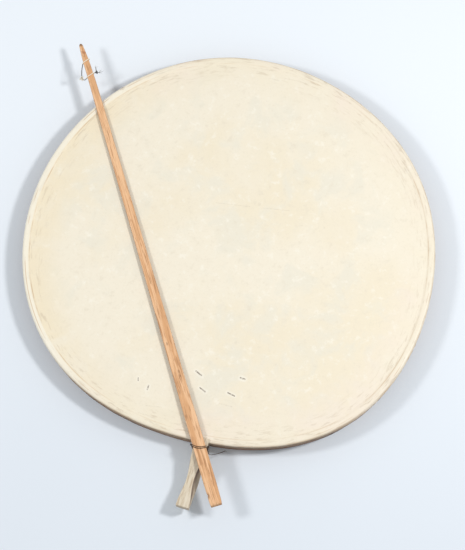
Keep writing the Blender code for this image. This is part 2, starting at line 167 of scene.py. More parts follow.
def arc(centre, radius, start, end, steps):
    angles = [math.radians(start + (end - start) * i / steps) for i in range(steps + 1)]
    return [(centre[0] + radius * math.cos(a), centre[1] + radius * math.sin(a)) for a in angles]


def offset_path(points, distance):
    """The same open path, moved sideways to its left by a distance, with mitred corners."""
    sides = []
    for (x0, z0), (x1, z1) in zip(points, points[1:]):
        length = math.hypot(x1 - x0, z1 - z0)
        sides.append(((z1 - z0) / length, -(x1 - x0) / length))
    moved = []
    for i, (x, z) in enumerate(points):
        before = sides[max(i - 1, 0)]
        after = sides[min(i, len(sides) - 1)]
        reach = distance / (1 + before[0] * after[0] + before[1] * after[1])
        moved.append((x + reach * (before[0] + after[0]), z + reach * (before[1] + after[1])))
    return moved


def refined(points, longest):
    """The same path with points added until no step is longer than asked."""
    fine = [points[0]]
    for a, b in zip(points, points[1:]):
        count = max(1, math.ceil(math.dist(a, b) / longest))
        fine += [tuple(np.add(a, np.subtract(b, a) * i / count)) for i in range(1, count + 1)]
    return fine


def rounded(corners, steps):
    """A closed outline with each corner (x, z, radius) turned into a curve of steps + 1 points."""
    outline = []
    for i, (x, z, radius) in enumerate(corners):
        here = np.array((x, z))
        ends = []
        for other in (corners[i - 1], corners[(i + 1) % len(corners)]):
            way = np.array(other[:2]) - here
            length = np.linalg.norm(way)
            ends.append(here + way / max(length, 1e-9) * min(radius, 0.45 * length))
        for step in range(steps + 1):
            t = step / steps
            outline.append(((1 - t) ** 2 * ends[0] + 2 * t * (1 - t) * here + t * t * ends[1]).tolist())
    return outline


# Meshes from grids of points

def grid(points, loop=False):
    """A closed tube over rows of points, as (points, faces). A loop joins its last row to its first."""
    rows, columns = points.shape[:2]
    row, column = np.meshgrid(np.arange(rows if loop else rows - 1), np.arange(columns), indexing="ij")
    row, column = row.ravel(), column.ravel()
    beside, below = (column + 1) % columns, (row + 1) % rows
    faces = np.stack([row * columns + column, row * columns + beside,
                      below * columns + beside, below * columns + column], axis=1).tolist()
    if not loop:
        faces += [list(range(columns))[::-1], [(rows - 1) * columns + i for i in range(columns)]]
    return points.reshape(-1, 3), faces


def volume(points, faces):
    """Six times the volume inside the faces, negative when they face inwards."""
    total = 0.0
    for count in {len(face) for face in faces}:
        corners = points[np.array([face for face in faces if len(face) == count])]
        for i in range(1, count - 1):
            total += np.einsum("ij,ij->", corners[:, 0], np.cross(corners[:, i], corners[:, i + 1]))
    return total


def new_piece(name, shells, sharp_angle=40.0):
    """One smooth-shaded object of one or more closed shells, each facing outwards."""
    points, faces, count = [], [], 0
    for shell_points, shell_faces in shells:
        if volume(shell_points - shell_points.mean(0), shell_faces) < 0:
            shell_faces = [face[::-1] for face in shell_faces]
        faces += [[i + count for i in face] for face in shell_faces]
        points.append(shell_points)
        count += len(shell_points)
    mesh = bpy.data.meshes.new(name)
    mesh.from_pydata(np.concatenate(points).tolist(), [], faces)
    mesh.shade_smooth()
    mesh.set_sharp_from_angle(angle=math.radians(sharp_angle))
    made = bpy.data.objects.new(name, mesh)
    bpy.context.scene.collection.objects.link(made)
    return made


def mesh_points(piece):
    places = np.zeros(len(piece.data.vertices) * 3)
    piece.data.vertices.foreach_get("co", places)
    return places.reshape(-1, 3)


def add_attribute(piece, name, values, domain="POINT"):
    """Stores a number or a vector for each point or face corner, for the materials to read."""
    kind = "FLOAT" if values.ndim == 1 else "FLOAT_VECTOR"
    made = piece.data.attributes.new(name, kind, domain)
    made.data.foreach_set("value" if kind == "FLOAT" else "vector", values.astype(np.float32).ravel())


def add_straight_grain(piece, start, along, across):
    """Grain coordinates of a straight piece of wood: along it, across it and through it."""
    axes = np.array([along, across, along.cross(across)])
    add_attribute(piece, "grain", (mesh_points(piece) - np.array(start)) @ axes.T)


def stands_for(piece, node, material):
    piece.data.materials.clear()
    piece.data.materials.append(material)
    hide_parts(node)
    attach(piece, "root")


# Outline of the covered rim

def rim_radius(angle):
    swell = sum(share * np.cos(times * (angle - math.radians(side))) for share, times, side in OUT_OF_ROUND)
    return HOOP_RADIUS * (1 + swell)


def drum_centre():
    """The middle of the hoop, found from the low corner of the drumhead's box."""
    angles = np.linspace(0, math.tau, CAD_SEGMENTS, endpoint=False)
    radius = rim_radius(angles)
    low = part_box("drumhead")[0]
    return Vector((low.x - (radius * np.cos(angles)).min(), low.y - (radius * np.sin(angles)).min(), 0.0))


CENTRE = drum_centre()


def on_rim(angles, inset, height):
    """Points round the drum, as an array of rows for the insets and columns for the angles."""
    radius = rim_radius(angles) - inset
    return np.stack([CENTRE.x + radius * np.cos(angles), CENTRE.y + radius * np.sin(angles),
                     np.broadcast_to(height, radius.shape)], axis=-1)


# Drumhead: one thin skin, with everything given as (distance in from the outline, height)

RIM_BAND = 0.030              # the part of the head that follows the hoop's outline closely
HEAD_RINGS = 12               # rings of the head inside that band
PUCKER = 0.00045              # how far the skirt's gathers stand out at its trimmed edge
TRIM_WANDER = 0.0011          # how unevenly the skirt was trimmed
CREST_WEAR = 0.00012          # how far the crest is worn down, unevenly
UPPER_GATHERS = 0.35          # gathers above the cord, as a share of those below it
CREASE_WANDER = 0.0008        # how far a crease strays from its line
CREASE_FADE = 1.6             # how fast a crease runs out towards its ends
# Creases that run along the rim: side, inset, half length along the rim, half width and height
CREASES = (
    (-60.5, 0.0125, 0.030, 0.00128, -0.00056), (-57.0, 0.0105, 0.045, 0.00144, 0.00072),
    (-65.8, 0.0140, 0.036, 0.00128, 0.00056), (-56.3, 0.0165, 0.050, 0.00128, 0.00056),
    (-47.2, 0.0130, 0.036, 0.00144, 0.00048), (-73.0, 0.0120, 0.032, 0.00128, 0.00056),
    (-79.0, 0.0160, 0.026, 0.00144, 0.00048), (-97.0, 0.0130, 0.030, 0.00128, 0.00064),
    (-103.0, 0.0165, 0.040, 0.00144, 0.00056), (-94.0, 0.0185, 0.024, 0.00128, 0.00048),
    (-109.0, 0.0120, 0.034, 0.00144, 0.00064), (-117.0, 0.0150, 0.040, 0.00144, 0.00048),
    (-131.0, 0.0125, 0.050, 0.00144, 0.00040), (150.0, 0.0125, 0.060, 0.00144, 0.00032),
    (28.0, 0.0125, 0.070, 0.00144, 0.00040), (76.0, 0.0130, 0.060, 0.00144, 0.00032),
)


def groove_path():
    """The groove in the hoop's outer side, from its upper lip down to its lower lip."""
    floor = COVER + GROOVE_DEPTH
    mouth = GROOVE_FLOOR + GROOVE_FLARE
    return [
        (COVER, CORD_HEIGHT + mouth), (floor, CORD_HEIGHT + GROOVE_FLOOR),
        (floor, CORD_HEIGHT - GROOVE_FLOOR), (COVER, CORD_HEIGHT - mouth),
    ]


def outer_edge():
    centre = (COVER + OUTER_EDGE_ROUND, FRONT - OUTER_EDGE_ROUND)
    return arc(centre, OUTER_EDGE_ROUND, 90, 180, ARC_STEPS)


def inner_edge(lowest, steps):
    centre = (COVER + HOOP_THICKNESS - INNER_EDGE_ROUND, FRONT - INNER_EDGE_ROUND)
    return arc(centre, INNER_EDGE_ROUND, lowest, 90, steps)


def skin_bed():
    """What the skin lies on, from inside the rim over the crest and down to the trimmed edge."""
    slope_start = inner_edge(90 - DIP_SLOPE, 2)
    head_height = FRONT - SKIN_DIP
    run = (slope_start[0][1] - head_height) / math.tan(math.radians(DIP_SLOPE))
    foot = (slope_start[0][0] + run, head_height)
    return [(RIM_BAND, head_height), foot, *slope_start, *outer_edge(), *groove_path(), (COVER, TRIM_HEIGHT)]


def head_rings(height):
    """Rings of the flat head, from near its middle to the band along the rim."""
    shares = np.linspace(0.02, 1.0, HEAD_RINGS + 1)[:-1]
    return [(HOOP_RADIUS - share * (HOOP_RADIUS - RIM_BAND), height) for share in shares]


def skin_place(angles, inset, height):
    """Follows the out-of-round outline near the rim, and shrinks evenly towards the middle."""
    radius = rim_radius(angles)
    share = np.minimum((HOOP_RADIUS - inset) / (HOOP_RADIUS - RIM_BAND), 1.0)
    reach = share * (radius - RIM_BAND) + np.maximum(RIM_BAND - inset, 0.0)
    return np.stack([CENTRE.x + reach * np.cos(angles), CENTRE.y + reach * np.sin(angles), height], axis=-1)


def crease_lift(angles, inset):
    """How far the creases raise or lower the skin."""
    lift = np.zeros_like(inset)
    for side, place, half_length, half_width, height in CREASES:
        turn = (angles - math.radians(side) + math.pi) % math.tau - math.pi
        along = turn * HOOP_RADIUS / half_length
        middle = place + CREASE_WANDER * np.sin(2.2 * along + side)
        lift += height * np.exp(-CREASE_FADE * along ** 2) * np.exp(-((inset - middle) / half_width) ** 2)
    return lift


def gathered(angles, inset, height):
    """The skirt drawn in by the cord, with an unevenly trimmed edge, as (inset, height)."""
    below_cord = smooth(CORD_LOW - 0.0006, TRIM_HEIGHT, height)
    above_cord = smooth(CORD_HIGH, CORD_HIGH + 0.0025, height) * smooth(FRONT - 0.001, FRONT - 0.005, height)
    folds = 0.5 + 0.5 * around(angles, 5, 90, 210, 9)
    stand_out = below_cord * np.clip(folds, 0, 1.4) + UPPER_GATHERS * above_cord * np.clip(folds, 0, 1) ** 2
    return inset - PUCKER * stand_out, height + TRIM_WANDER * below_cord * around(angles, 8, 5, 60)


def creased(angles, inset, height):
    """The height of the face with its creases, and with its crest worn."""
    on_head = smooth(0.0085, 0.0105, inset) * smooth(RIM_BAND, 0.022, inset)
    height = height + on_head * crease_lift(angles, inset)
    crest = smooth(CREST_TOP - 0.004, CREST_TOP - 0.0005, height) * (1 - smooth(0.008, 0.012, inset))
    return height - CREST_WEAR * crest * (1 + around(angles, 11, 10, 70))


def skin_surface(path, upper):
    """Points of one side of the skin, and how far in from the outline each of them is."""
    angles = np.repeat(np.linspace(0, math.tau, SKIN_SEGMENTS, endpoint=False)[None, :], len(path), axis=0)
    flat = np.repeat(np.array(path)[:, :1], SKIN_SEGMENTS, axis=1)
    height = np.repeat(np.array(path)[:, 1:], SKIN_SEGMENTS, axis=1)
    inset, height = gathered(angles, flat, height)
    if upper:
        height = creased(angles, flat, height)
    return skin_place(angles, inset, height), flat


def make_drumhead():
    top = refined(offset_path(skin_bed(), COVER), SKIN_TOP_STEP)
    bottom = refined(offset_path(skin_bed(), FIT_GAP), SKIN_UNDER_STEP)
    upper, upper_inset = skin_surface(head_rings(top[0][1]) + top, True)
    lower, lower_inset = skin_surface(head_rings(bottom[0][1]) + bottom, False)
    drumhead = new_piece("drumhead_skin", [grid(np.concatenate([upper, lower[::-1]]))])
    add_attribute(drumhead, "inset", np.concatenate([upper_inset, lower_inset[::-1]]).ravel())
    return drumhead


# Hoop

LAP_SIDE = -62.0              # where the thinned ends of the bent board overlap
LAP_STEP = 0.0007             # how far the inner end stands in at the lap
LAP_FADE = 24.0               # how far round that end was thinned
LAP_GAP = 0.0004              # the slit between the two ends, in radians
BACK_WEAR = 0.00012           # how far the back edge is worn, unevenly


def make_hoop():
    inner = COVER + HOOP_THICKNESS
    section = [
        *inner_edge(0, ARC_STEPS), *outer_edge(), *groove_path(),
        (COVER, BACK_CHAMFER), (COVER + BACK_CHAMFER, 0.0),
        (inner - BACK_CHAMFER, 0.0), (inner, BACK_CHAMFER),
    ]
    section = np.array(refined(section + section[:1], HOOP_STEP)[:-1])
    lap = math.radians(LAP_SIDE)
    angles = lap + np.linspace(0, math.tau, HOOP_SEGMENTS, endpoint=False)[:, None]
    angles[-1] = lap + math.tau - LAP_GAP
    inset, height = section[None, :, 0], section[None, :, 1]
    inside = smooth(0.5 * HOOP_THICKNESS, HOOP_THICKNESS, inset - COVER)
    thinned = 1 - smooth(lap, lap + math.radians(LAP_FADE), angles)
    worn = BACK_WEAR * (1 + around(angles, 21, 8, 60)) * smooth(0.006, 0.0, height)
    turned = on_rim(angles, inset + LAP_STEP * thinned * inside + worn * (1 - 2 * inside), height)
    hoop = new_piece("hoop_bent", [grid(turned, loop=True)])
    add_ring_grain(hoop, angles[:, 0] - lap, section)
    return hoop


def add_ring_grain(piece, turns, section):
    """Grain coordinates of a bent board, kept for each face corner so that they end at the lap."""
    corners = np.zeros(len(piece.data.loops), dtype=int)
    piece.data.loops.foreach_get("vertex_index", corners)
    row, column = np.divmod(corners.reshape(-1, 4), len(section))
    at_end = (row.max(axis=1, keepdims=True) == len(turns) - 1) & (row == 0)
    along = np.append(turns, math.tau)[np.where(at_end, len(turns), row)] * HOOP_RADIUS
    grain = np.stack([along, section[column, 1], section[column, 0]], axis=-1)
    add_attribute(piece, "grain", grain.reshape(-1, 3), "CORNER")


# Threads and cords: round plies twisted along a path

def evenly(path, spacing):
    """Points at an even spacing along a path."""
    path = np.array([tuple(point) for point in path])
    lengths = np.append(0.0, np.cumsum(np.linalg.norm(np.diff(path, axis=0), axis=1)))
    places = np.linspace(0, lengths[-1], max(3, int(lengths[-1] / spacing) + 1))
    return np.stack([np.interp(places, lengths, path[:, i]) for i in range(3)], axis=1)


def relaxed(path, spacing, rounds):
    """Points at an even spacing along a path, with its kinks smoothed out and its ends kept."""
    path = evenly(path, spacing)
    for _ in range(rounds):
        path = np.concatenate([path[:1], (path[:-2] + 2 * path[1:-1] + path[2:]) / 4, path[-1:]])
    return path


def side_directions(path):
    """Two directions square to the path at each point, carried along it without twisting."""
    runs = np.gradient(path, axis=0)
    runs /= np.linalg.norm(runs, axis=1, keepdims=True)
    start = Vector(runs[0]).orthogonal().normalized()
    firsts = [np.array(start)]
    for run in runs[1:]:
        carried = firsts[-1] - run * np.dot(firsts[-1], run)
        firsts.append(carried / np.linalg.norm(carried))
    firsts = np.array(firsts)
    return firsts, np.cross(runs, firsts)


def tube(path, radii, sides):
    """Rings of points round a path, with one radius or one for each point."""
    first, second = side_directions(path)
    turn = np.linspace(0, math.tau, sides, endpoint=False)
    radii = np.broadcast_to(radii, len(path))[:, None, None]
    ring = np.cos(turn)[None, :, None] * first[:, None] + np.sin(turn)[None, :, None] * second[:, None]
    return grid(path[:, None] + radii * ring)


def twisted(path, diameter, plies, pitch, sides=6, steps=9):
    """Plies twisted round each other along a path, each one a closed tube."""
    path = evenly(path, pitch / steps)
    first, second = side_directions(path)
    spread = {2: 0.5, 3: 0.536}[plies] * diameter / 2
    ply_radius = diameter / 2 - spread
    turn = math.tau * np.arange(len(path)) / steps
    shells = []
    for ply in range(plies):
        angle = (turn + math.tau * ply / plies)[:, None]
        centre = path + spread * (np.cos(angle) * first + np.sin(angle) * second)
        taper = np.clip(np.minimum(np.arange(len(path)), np.arange(len(path))[::-1]) / 3, 0.35, 1.0)
        shells.append(tube(centre, 1.08 * ply_radius * taper, sides))
    return shells


def fibres(places, count, length, radius, seed, pull=(0.0, 0.0, 0.0)):
    """Fine stray fibres that stand off a thread at chosen places."""
    chance = np.random.default_rng(seed)
    shells = []
    for _ in range(count):
        start = np.array(places[chance.integers(len(places))])
        way = chance.normal(size=3) + np.array(pull)
        way /= np.linalg.norm(way)
        curl = np.cross(way, chance.normal(size=3))
        reach = length * chance.uniform(0.5, 1.0)
        along = np.linspace(0, 1, 5)[:, None]
        path = start + reach * (along * way + 0.4 * along ** 2 * curl)
        path[:, 2] = np.maximum(path[:, 2], radius)
        shells.append(tube(path, radius * np.array([1, 0.9, 0.75, 0.55, 0.3]), 4))
    return shells


KNOT_SHARE = 0.62             # radius of a knot's thread line, as a share of the knot's


def knot_path(centre, size, facing):
    """The middle of a thread in an overhand knot of a given radius, its flat side towards facing."""
    turn = np.linspace(0, math.tau, 49)
    loops = np.stack([np.sin(turn) + 2 * np.sin(2 * turn), np.cos(turn) - 2 * np.cos(2 * turn),
                      -1.3 * np.sin(3 * turn)], axis=1) / 3
    tilt = Vector(facing).to_track_quat("Z", "Y").to_matrix()
    return np.array(centre) + KNOT_SHARE * size * loops @ np.array(tilt).T


BRAID_PITCH = 0.0062
BRAID_STEPS = 11
BRAID_REACH = 0.31            # share of the cord's diameter that a strand swings up and down
BRAID_WEAVE = 0.15            # share that it swings in and out
BRAID_STRAND = 0.19           # a strand's radius, as a share of the cord's diameter


def make_head_cord():
    """Three strands of sinew braided together, lying in the groove all the way round."""
    inset = GROOVE_DEPTH - FIT_GAP - CORD_DIAMETER / 2
    periods = round(math.tau * HOOP_RADIUS / BRAID_PITCH)
    angles = np.linspace(0, math.tau, periods * BRAID_STEPS, endpoint=False)
    turn = np.linspace(0, math.tau, 6, endpoint=False)
    strands = []
    for strand in range(3):
        phase = periods * angles + math.tau * strand / 3
        up = BRAID_REACH * CORD_DIAMETER * np.sin(phase)
        out = BRAID_WEAVE * CORD_DIAMETER * np.sin(2 * phase)
        radius = BRAID_STRAND * CORD_DIAMETER
        rows = on_rim(angles[:, None], inset - out[:, None] - radius * np.cos(turn)[None, :],
                      CORD_HEIGHT + up[:, None] + radius * np.sin(turn)[None, :])
        strands.append(grid(rows, loop=True))
    return new_piece("head_cord_braid", strands, 80.0)


# Handle, in its own directions: out from the rim, across to its right, and height

HANDLE_ANGLE = math.radians(HANDLE_SIDE)
HANDLE_OUT = Vector((-math.sin(math.radians(HANDLE_LEAN)), -math.cos(math.radians(HANDLE_LEAN)), 0.0))
HANDLE_ACROSS = Vector((-HANDLE_OUT.y, HANDLE_OUT.x, 0.0))
UP = Vector((0.0, 0.0, 1.0))
FROM_CENTRE = Vector((math.cos(HANDLE_ANGLE), math.sin(HANDLE_ANGLE), 0.0))
HANDLE_ROOT = CENTRE + FROM_CENTRE * rim_radius(HANDLE_ANGLE)
HANDLE_STATIONS = 110
HANDLE_ROUND = 0.0018         # rounding of the long edges
RIDGE_ROUND = 0.0009          # the ridge beside the scoop was left crisper
KNIFE_MARKS = 0.00022         # unevenness that the knife left
BUTT_BEVEL = 0.0009
SCOOP_ROUND = (0.004, 0.003)  # rounding of the scoop's hollow and of its lower edge
NOTCH_SPAN = 0.08             # half of the arc that the space for the rim covers, in radians


def handle_point(out, across, height):
    return HANDLE_ROOT + out * HANDLE_OUT + across * HANDLE_ACROSS + height * UP


def ease(low, high, share):
    return low + (high - low) * float(smooth(0.0, 1.0, share))


def handle_size(out, head, waist, butt):
    """A size of the handle at a distance from the rim, eased from its head to its waist to its butt."""
    if out < WAIST_PLACE:
        return ease(head, waist, (out - HEAD_LENGTH) / (WAIST_PLACE - HEAD_LENGTH))
    return ease(waist, butt, (out - WAIST_PLACE) / (HANDLE_REACH - WAIST_PLACE))


def handle_row(out):
    """One section of the handle: flat top, crisp ridge, scooped right flank, rounded long edges."""
    half = handle_size(out, HEAD_WIDTH, WAIST_WIDTH, BUTT_WIDTH) / 2
    shift = handle_size(out, 0.0, WAIST_SHIFT, 0.0)
    thickness = handle_size(out, LIP_TOP - HEAD_ABOVE_BACK, WAIST_THICKNESS, BUTT_THICKNESS)
    top = LIP_TOP - handle_size(out, 0.0, WAIST_DROP, BUTT_DROP)
    bottom = top - thickness
    lean = handle_size(out, 0.0, SCOOP_WIDTH, 0.0)
    left, right = shift - half, shift + half
    scoop = min(SCOOP_DEPTH, thickness - 2 * HANDLE_ROUND)
    corners = [
        (left, bottom, HANDLE_ROUND), (left, top, HANDLE_ROUND), (right - lean, top, RIDGE_ROUND),
        (right - SCOOP_TURN[0] * lean, top - SCOOP_TURN[1] * scoop, SCOOP_ROUND[0]),
        (right, top - scoop, SCOOP_ROUND[1]), (right, bottom, HANDLE_ROUND),
    ]
    outline = np.array(rounded(corners, ARC_STEPS))
    middle = outline.mean(axis=0)
    bevel = BUTT_BEVEL * float(smooth(HANDLE_REACH - BUTT_BEVEL, HANDLE_REACH, out))
    outline = middle + (outline - middle) * (1 - bevel / half)
    row = []
    for across, height in outline.tolist():
        place = handle_point(out, across, height)
        outwards = (across - float(middle[0])) * HANDLE_ACROSS + (height - float(middle[1])) * UP
        cut = noise.noise(Vector((out * 55, across * 160, height * 160))) + 0.5 * noise.noise(place * 420)
        row.append(place + KNIFE_MARKS * (cut - 0.4) * outwards.normalized())
    return row


def rim_space():
    """The space that the covered rim fills in the handle's notch."""
    gap = COVER + FIT_GAP
    far = 0.03
    bed = [(far, FRONT), *outer_edge(), (COVER, -far)]
    section = np.array([*offset_path(bed, gap), (far, -far)])
    angles = HANDLE_ANGLE + np.linspace(-NOTCH_SPAN, NOTCH_SPAN, 25)[:, None]
    cutter = new_piece("rim_space", [grid(on_rim(angles, section[None, :, 0], section[None, :, 1]))])
    cutter.hide_render = True
    return cutter


def make_handle():
    ends = [HANDLE_REACH - BUTT_BEVEL * share for share in (0.8, 0.6, 0.4, 0.2, 0.0)]
    stations = np.append(np.linspace(-LIP_REACH, HANDLE_REACH - BUTT_BEVEL, HANDLE_STATIONS), ends)
    rows = np.array([[tuple(point) for point in handle_row(float(out))] for out in stations])
    whole = new_piece("handle_whole", [grid(rows)])
    cutter = rim_space()
    notch = whole.modifiers.new("notch", "BOOLEAN")
    notch.operation = "DIFFERENCE"
    notch.solver = "EXACT"
    notch.object = cutter
    bpy.context.view_layer.update()
    mesh = bpy.data.meshes.new_from_object(whole.evaluated_get(bpy.context.evaluated_depsgraph_get()))
    handle = bpy.data.objects.new("handle_carved", mesh)
    bpy.context.scene.collection.objects.link(handle)
    for used in (whole, cutter):
        bpy.data.objects.remove(used, do_unlink=True)
    mesh.shade_smooth()
    mesh.set_sharp_from_angle(angle=math.radians(38))
    add_straight_grain(handle, HANDLE_ROOT, HANDLE_OUT, HANDLE_ACROSS)
    return handle


# Wand, in its own directions: along it from the tip, across to its right, and up

WAND_RUN = Vector((math.sin(math.radians(WAND_SKEW)), -math.cos(math.radians(WAND_SKEW)), 0.0))
WAND_ACROSS = Vector((-WAND_RUN.y, WAND_RUN.x, 0.0))
WAND_TIP = handle_point(0.0, -WAND_TIE_PLACE, 0.0) - (WAND_LENGTH - WAND_BUTT_REACH) * WAND_RUN
WAND_ROWS = 240
WAND_EDGE = 0.0011
SPLIT_WANDER = 0.00016        # unevenness of the split edges
# A nick in the left edge near the butt: distance from the tip, half length and depth
NICK = (0.7080, 0.0016, 0.0009)


def far_crossing():
    """Distance from the wand's tip to where its axis first comes over the rim."""
    low, high = 0.0, WAND_LENGTH / 2
    for _ in range(50):
        middle = (low + high) / 2
        place = WAND_TIP + middle * WAND_RUN - CENTRE
        if place.length > rim_radius(math.atan2(place.y, place.x)):
            low = middle
        else:
            high = middle
    return low


WAND_FAR = far_crossing()
LIP_RUN = LIP_REACH / math.cos(math.radians(WAND_SKEW + HANDLE_LEAN))
WAND_NEAR = WAND_LENGTH - WAND_BUTT_REACH - LIP_RUN
WAND_RISE = (LIP_TOP - CREST_TOP) / (WAND_NEAR - WAND_FAR)


def wand_size(along):
    """Width and thickness at a distance from the tip, without kinks where the taper changes."""
    share, width, thickness = np.array(WAND_STATIONS).T
    here = along / WAND_LENGTH
    window = here + np.linspace(-1, 1, 9) * min(0.02, 0.3 * here, 0.6 * abs(1 - here))
    return tuple(float(np.interp(window, share, size).mean()) for size in (width, thickness))


def wand_point(along, across, lift):
    """A point at a distance from the tip, across the wand, and above its underside."""
    level = CREST_TOP + FIT_GAP + WAND_RISE * (along - WAND_FAR) + lift
    bend = max(1 - along / WAND_SWEEP_LENGTH, 0.0) ** 2
    return WAND_TIP + along * WAND_RUN + (across - WAND_TIP_SWEEP * bend) * WAND_ACROSS + level * UP


def wand_row(along):
    width, thickness = wand_size(along)
    half, edge = width / 2, min(WAND_EDGE, width / 4, thickness / 3)
    crown = 0.05 * thickness
    corners = [(-half, 0.0, edge), (-half, thickness - crown, edge), (0.0, thickness, width / 3),
               (half, thickness - crown, edge), (half, 0.0, edge)]
    nick_place, nick_length, nick_depth = NICK
    nick = nick_depth * math.exp(-((along - nick_place) / nick_length) ** 2)
    row = []
    for across, lift in rounded(corners, 4):
        side = across / half
        wander = SPLIT_WANDER * noise.noise(Vector((along * 40, 3.7 if side < 0 else 9.1, 0.0)))
        wander += 0.4 * SPLIT_WANDER * noise.noise(Vector((along * 260, across * 500, lift * 500)))
        row.append(wand_point(along, across + side * wander + max(-side, 0.0) ** 3 * nick, max(lift, 0.0)))
    return row


def make_wand():
    """The wand, with its rows closest together at the tip, at the butt and at the nick."""
    fine_tip = 0.05 * np.linspace(0, 1, 50) ** 2
    body = np.linspace(0.053, WAND_LENGTH - 0.008, WAND_ROWS)
    butt = WAND_LENGTH - 0.007 * np.linspace(1, 0, 10)
    near_nick = NICK[0] + np.linspace(-0.004, 0.004, 12)
    stations = np.unique(np.concatenate([fine_tip, body, butt, near_nick]))
    rows = np.array([[tuple(point) for point in wand_row(float(along))] for along in stations])
    wand = new_piece("wand_split", [grid(rows)])
    add_straight_grain(wand, WAND_TIP, WAND_RUN, WAND_ACROSS)
    return wand


# Bands: a thread drawn tight round pieces, found from a flat cut through them

def cut_points(pieces, start, facing):
    """Where a plane cuts the pieces."""
    found = []
    for piece in pieces:
        bm = bmesh.new()
        bm.from_mesh(piece.data)
        everything = bm.verts[:] + bm.edges[:] + bm.faces[:]
        cut = bmesh.ops.bisect_plane(bm, geom=everything, plane_co=start, plane_no=facing)
        found += [item.co.copy() for item in cut["geom_cut"] if isinstance(item, bmesh.types.BMVert)]
        bm.free()
    return found


def turn_of(a, b, c):
    return (b[0] - a[0]) * (c[1] - a[1]) - (b[1] - a[1]) * (c[0] - a[0])


def hull(points):
    """Corners of the tight loop round some flat points, counter-clockwise."""
    points = sorted(set(points))

    def half(sequence):
        chain = []
        for point in sequence:
            while len(chain) > 1 and turn_of(chain[-2], chain[-1], point) <= 0:
                chain.pop()
            chain.append(point)
        return chain[:-1]

    return half(points) + half(points[::-1])


def tight_band(points, start, across, clearance, steps=90):
    """An even closed loop round the points, as (across, up) from start, kept clear by the clearance."""
    circle = np.linspace(0, math.tau, 16, endpoint=False)
    flat = [((point - start).dot(across), (point - start).z) for point in points]
    reach = [(clearance * math.cos(a), clearance * math.sin(a)) for a in circle]
    ring = hull([(x + dx, z + dz) for x, z in hull(flat) for dx, dz in reach])
    ring = [(x, z, 0.0) for x, z in ring + ring[:1]]
    length = sum(math.dist(a, b) for a, b in zip(ring, ring[1:]))
    return evenly(ring, length / steps)[:-1, :2].tolist()


def furthest(points, way):
    return max(points, key=lambda point: point.dot(way))


# Dark thread round the wand and the handle's head

TIE_CLEARANCE = 0.00035       # between the thread's surface and what it goes round
TIE_SLACK = 0.0011            # how unevenly the turns were laid, along the handle
TIE_SAG = 0.0030              # how far the turns sag towards the butt where they cross the wand
TIE_SAG_RISE = 0.004          # height over the lip at which they sag in full
TIE_SAG_SPAN = HEAD_WIDTH / 1.7   # half of the width over which they sag
TIE_TWIST = 0.0026            # length of one twist of its plies
TIE_DRAWN = 0.0011            # the thread's thickness where it is drawn tight
# Each knot: radius, and its way out from the thread across and up
TIE_KNOTS = ((0.0019, -0.90, 0.45), (0.0024, 1.0, 0.25))


def tie_turn(number, pieces, across, facing):
    """Points of one turn round the pieces, from its right upper corner on."""
    middle = handle_point(TIE_FROM_RIM, 0.0, 0.0)
    start = TIE_PITCH * number
    around_both = []
    for shift in (start - TIE_SLACK / 2, start + TIE_PITCH + TIE_SLACK / 2):
        cut = cut_points(pieces, middle + shift * HANDLE_OUT, facing)
        around_both += [point - shift * HANDLE_OUT for point in cut]
    band = tight_band(around_both, middle, across, TIE_DIAMETER / 2 + TIE_CLEARANCE)
    first = max(range(len(band)), key=lambda i: band[i][0] + band[i][1])
    points = []
    for i, (x, z) in enumerate(band[first:] + band[:first]):
        share = i / len(band)
        wave = math.sin(math.tau * (share + 0.35 * number)) * (1 if number else -1)
        on_top = float(smooth(LIP_TOP, LIP_TOP + TIE_SAG_RISE, z)) * max(0.0, 1 - (x / TIE_SAG_SPAN) ** 2)
        shift = start + TIE_PITCH * share + TIE_SLACK / 2 * wave + TIE_SAG * on_top
        points.append(middle + x * across + z * UP + shift * HANDLE_OUT)
    return points


def make_wand_tie(wand, handle):
    skew = math.radians(TIE_SKEW)
    across = math.cos(skew) * HANDLE_ACROSS - math.sin(skew) * HANDLE_OUT
    facing = math.cos(skew) * HANDLE_OUT + math.sin(skew) * HANDLE_ACROSS
    turns = [tie_turn(number, [wand, handle], across, facing) for number in range(TIE_TURNS)]
    route = sum(turns, [])
    tail = [handle_point(out, side, LIP_TOP - below) for out, side, below in TIE_TAIL]
    path = relaxed([*route, turns[-1][0] + TIE_PITCH * HANDLE_OUT, *tail], THREAD_STEP, 12)
    shells = twisted(path, TIE_DRAWN, 2, TIE_TWIST)
    above_lip = [point for point in route if point.z > LIP_TOP]
    for size, sideways, upwards in TIE_KNOTS:
        outward = (sideways * across + upwards * UP).normalized()
        place = furthest(above_lip, outward) + (size - TIE_DIAMETER / 2) * outward
        loops = knot_path(place, size, outward)
        shells += twisted(loops, TIE_DRAWN, 2, 0.7 * TIE_TWIST)
        shells += fibres(loops, 7, 0.0035, 0.00007, 31 + len(shells), 0.8 * outward)
    shells += fibres(path[::4], 26, 0.0022, 0.00006, 37)
    shells += fibres(path[-3:], 5, 0.0035, 0.00009, 41, 1.5 * HANDLE_ACROSS)
    return new_piece("wand_tie_thread", shells, 80.0)


# Pale thread near the wand's tip

TIP_CLEARANCE = 0.00025
TIP_TWIST = 0.0024
LINK_DIP = 0.0040             # how far the thread from the left knot to the second turn hangs down
TIP_BAND = 0.0017             # the turns round the wand, a little flattened and wider than the loose thread
LEFT_KNOT_SIZE = 0.0048
RIGHT_KNOT_SIZE = 0.0034
# The frayed end beyond the right knot: from the tip and across the wand
RIGHT_FRAY = ((0.0500, 0.0108), (0.0512, 0.0128), (0.0520, 0.0146), (0.0514, 0.0158))


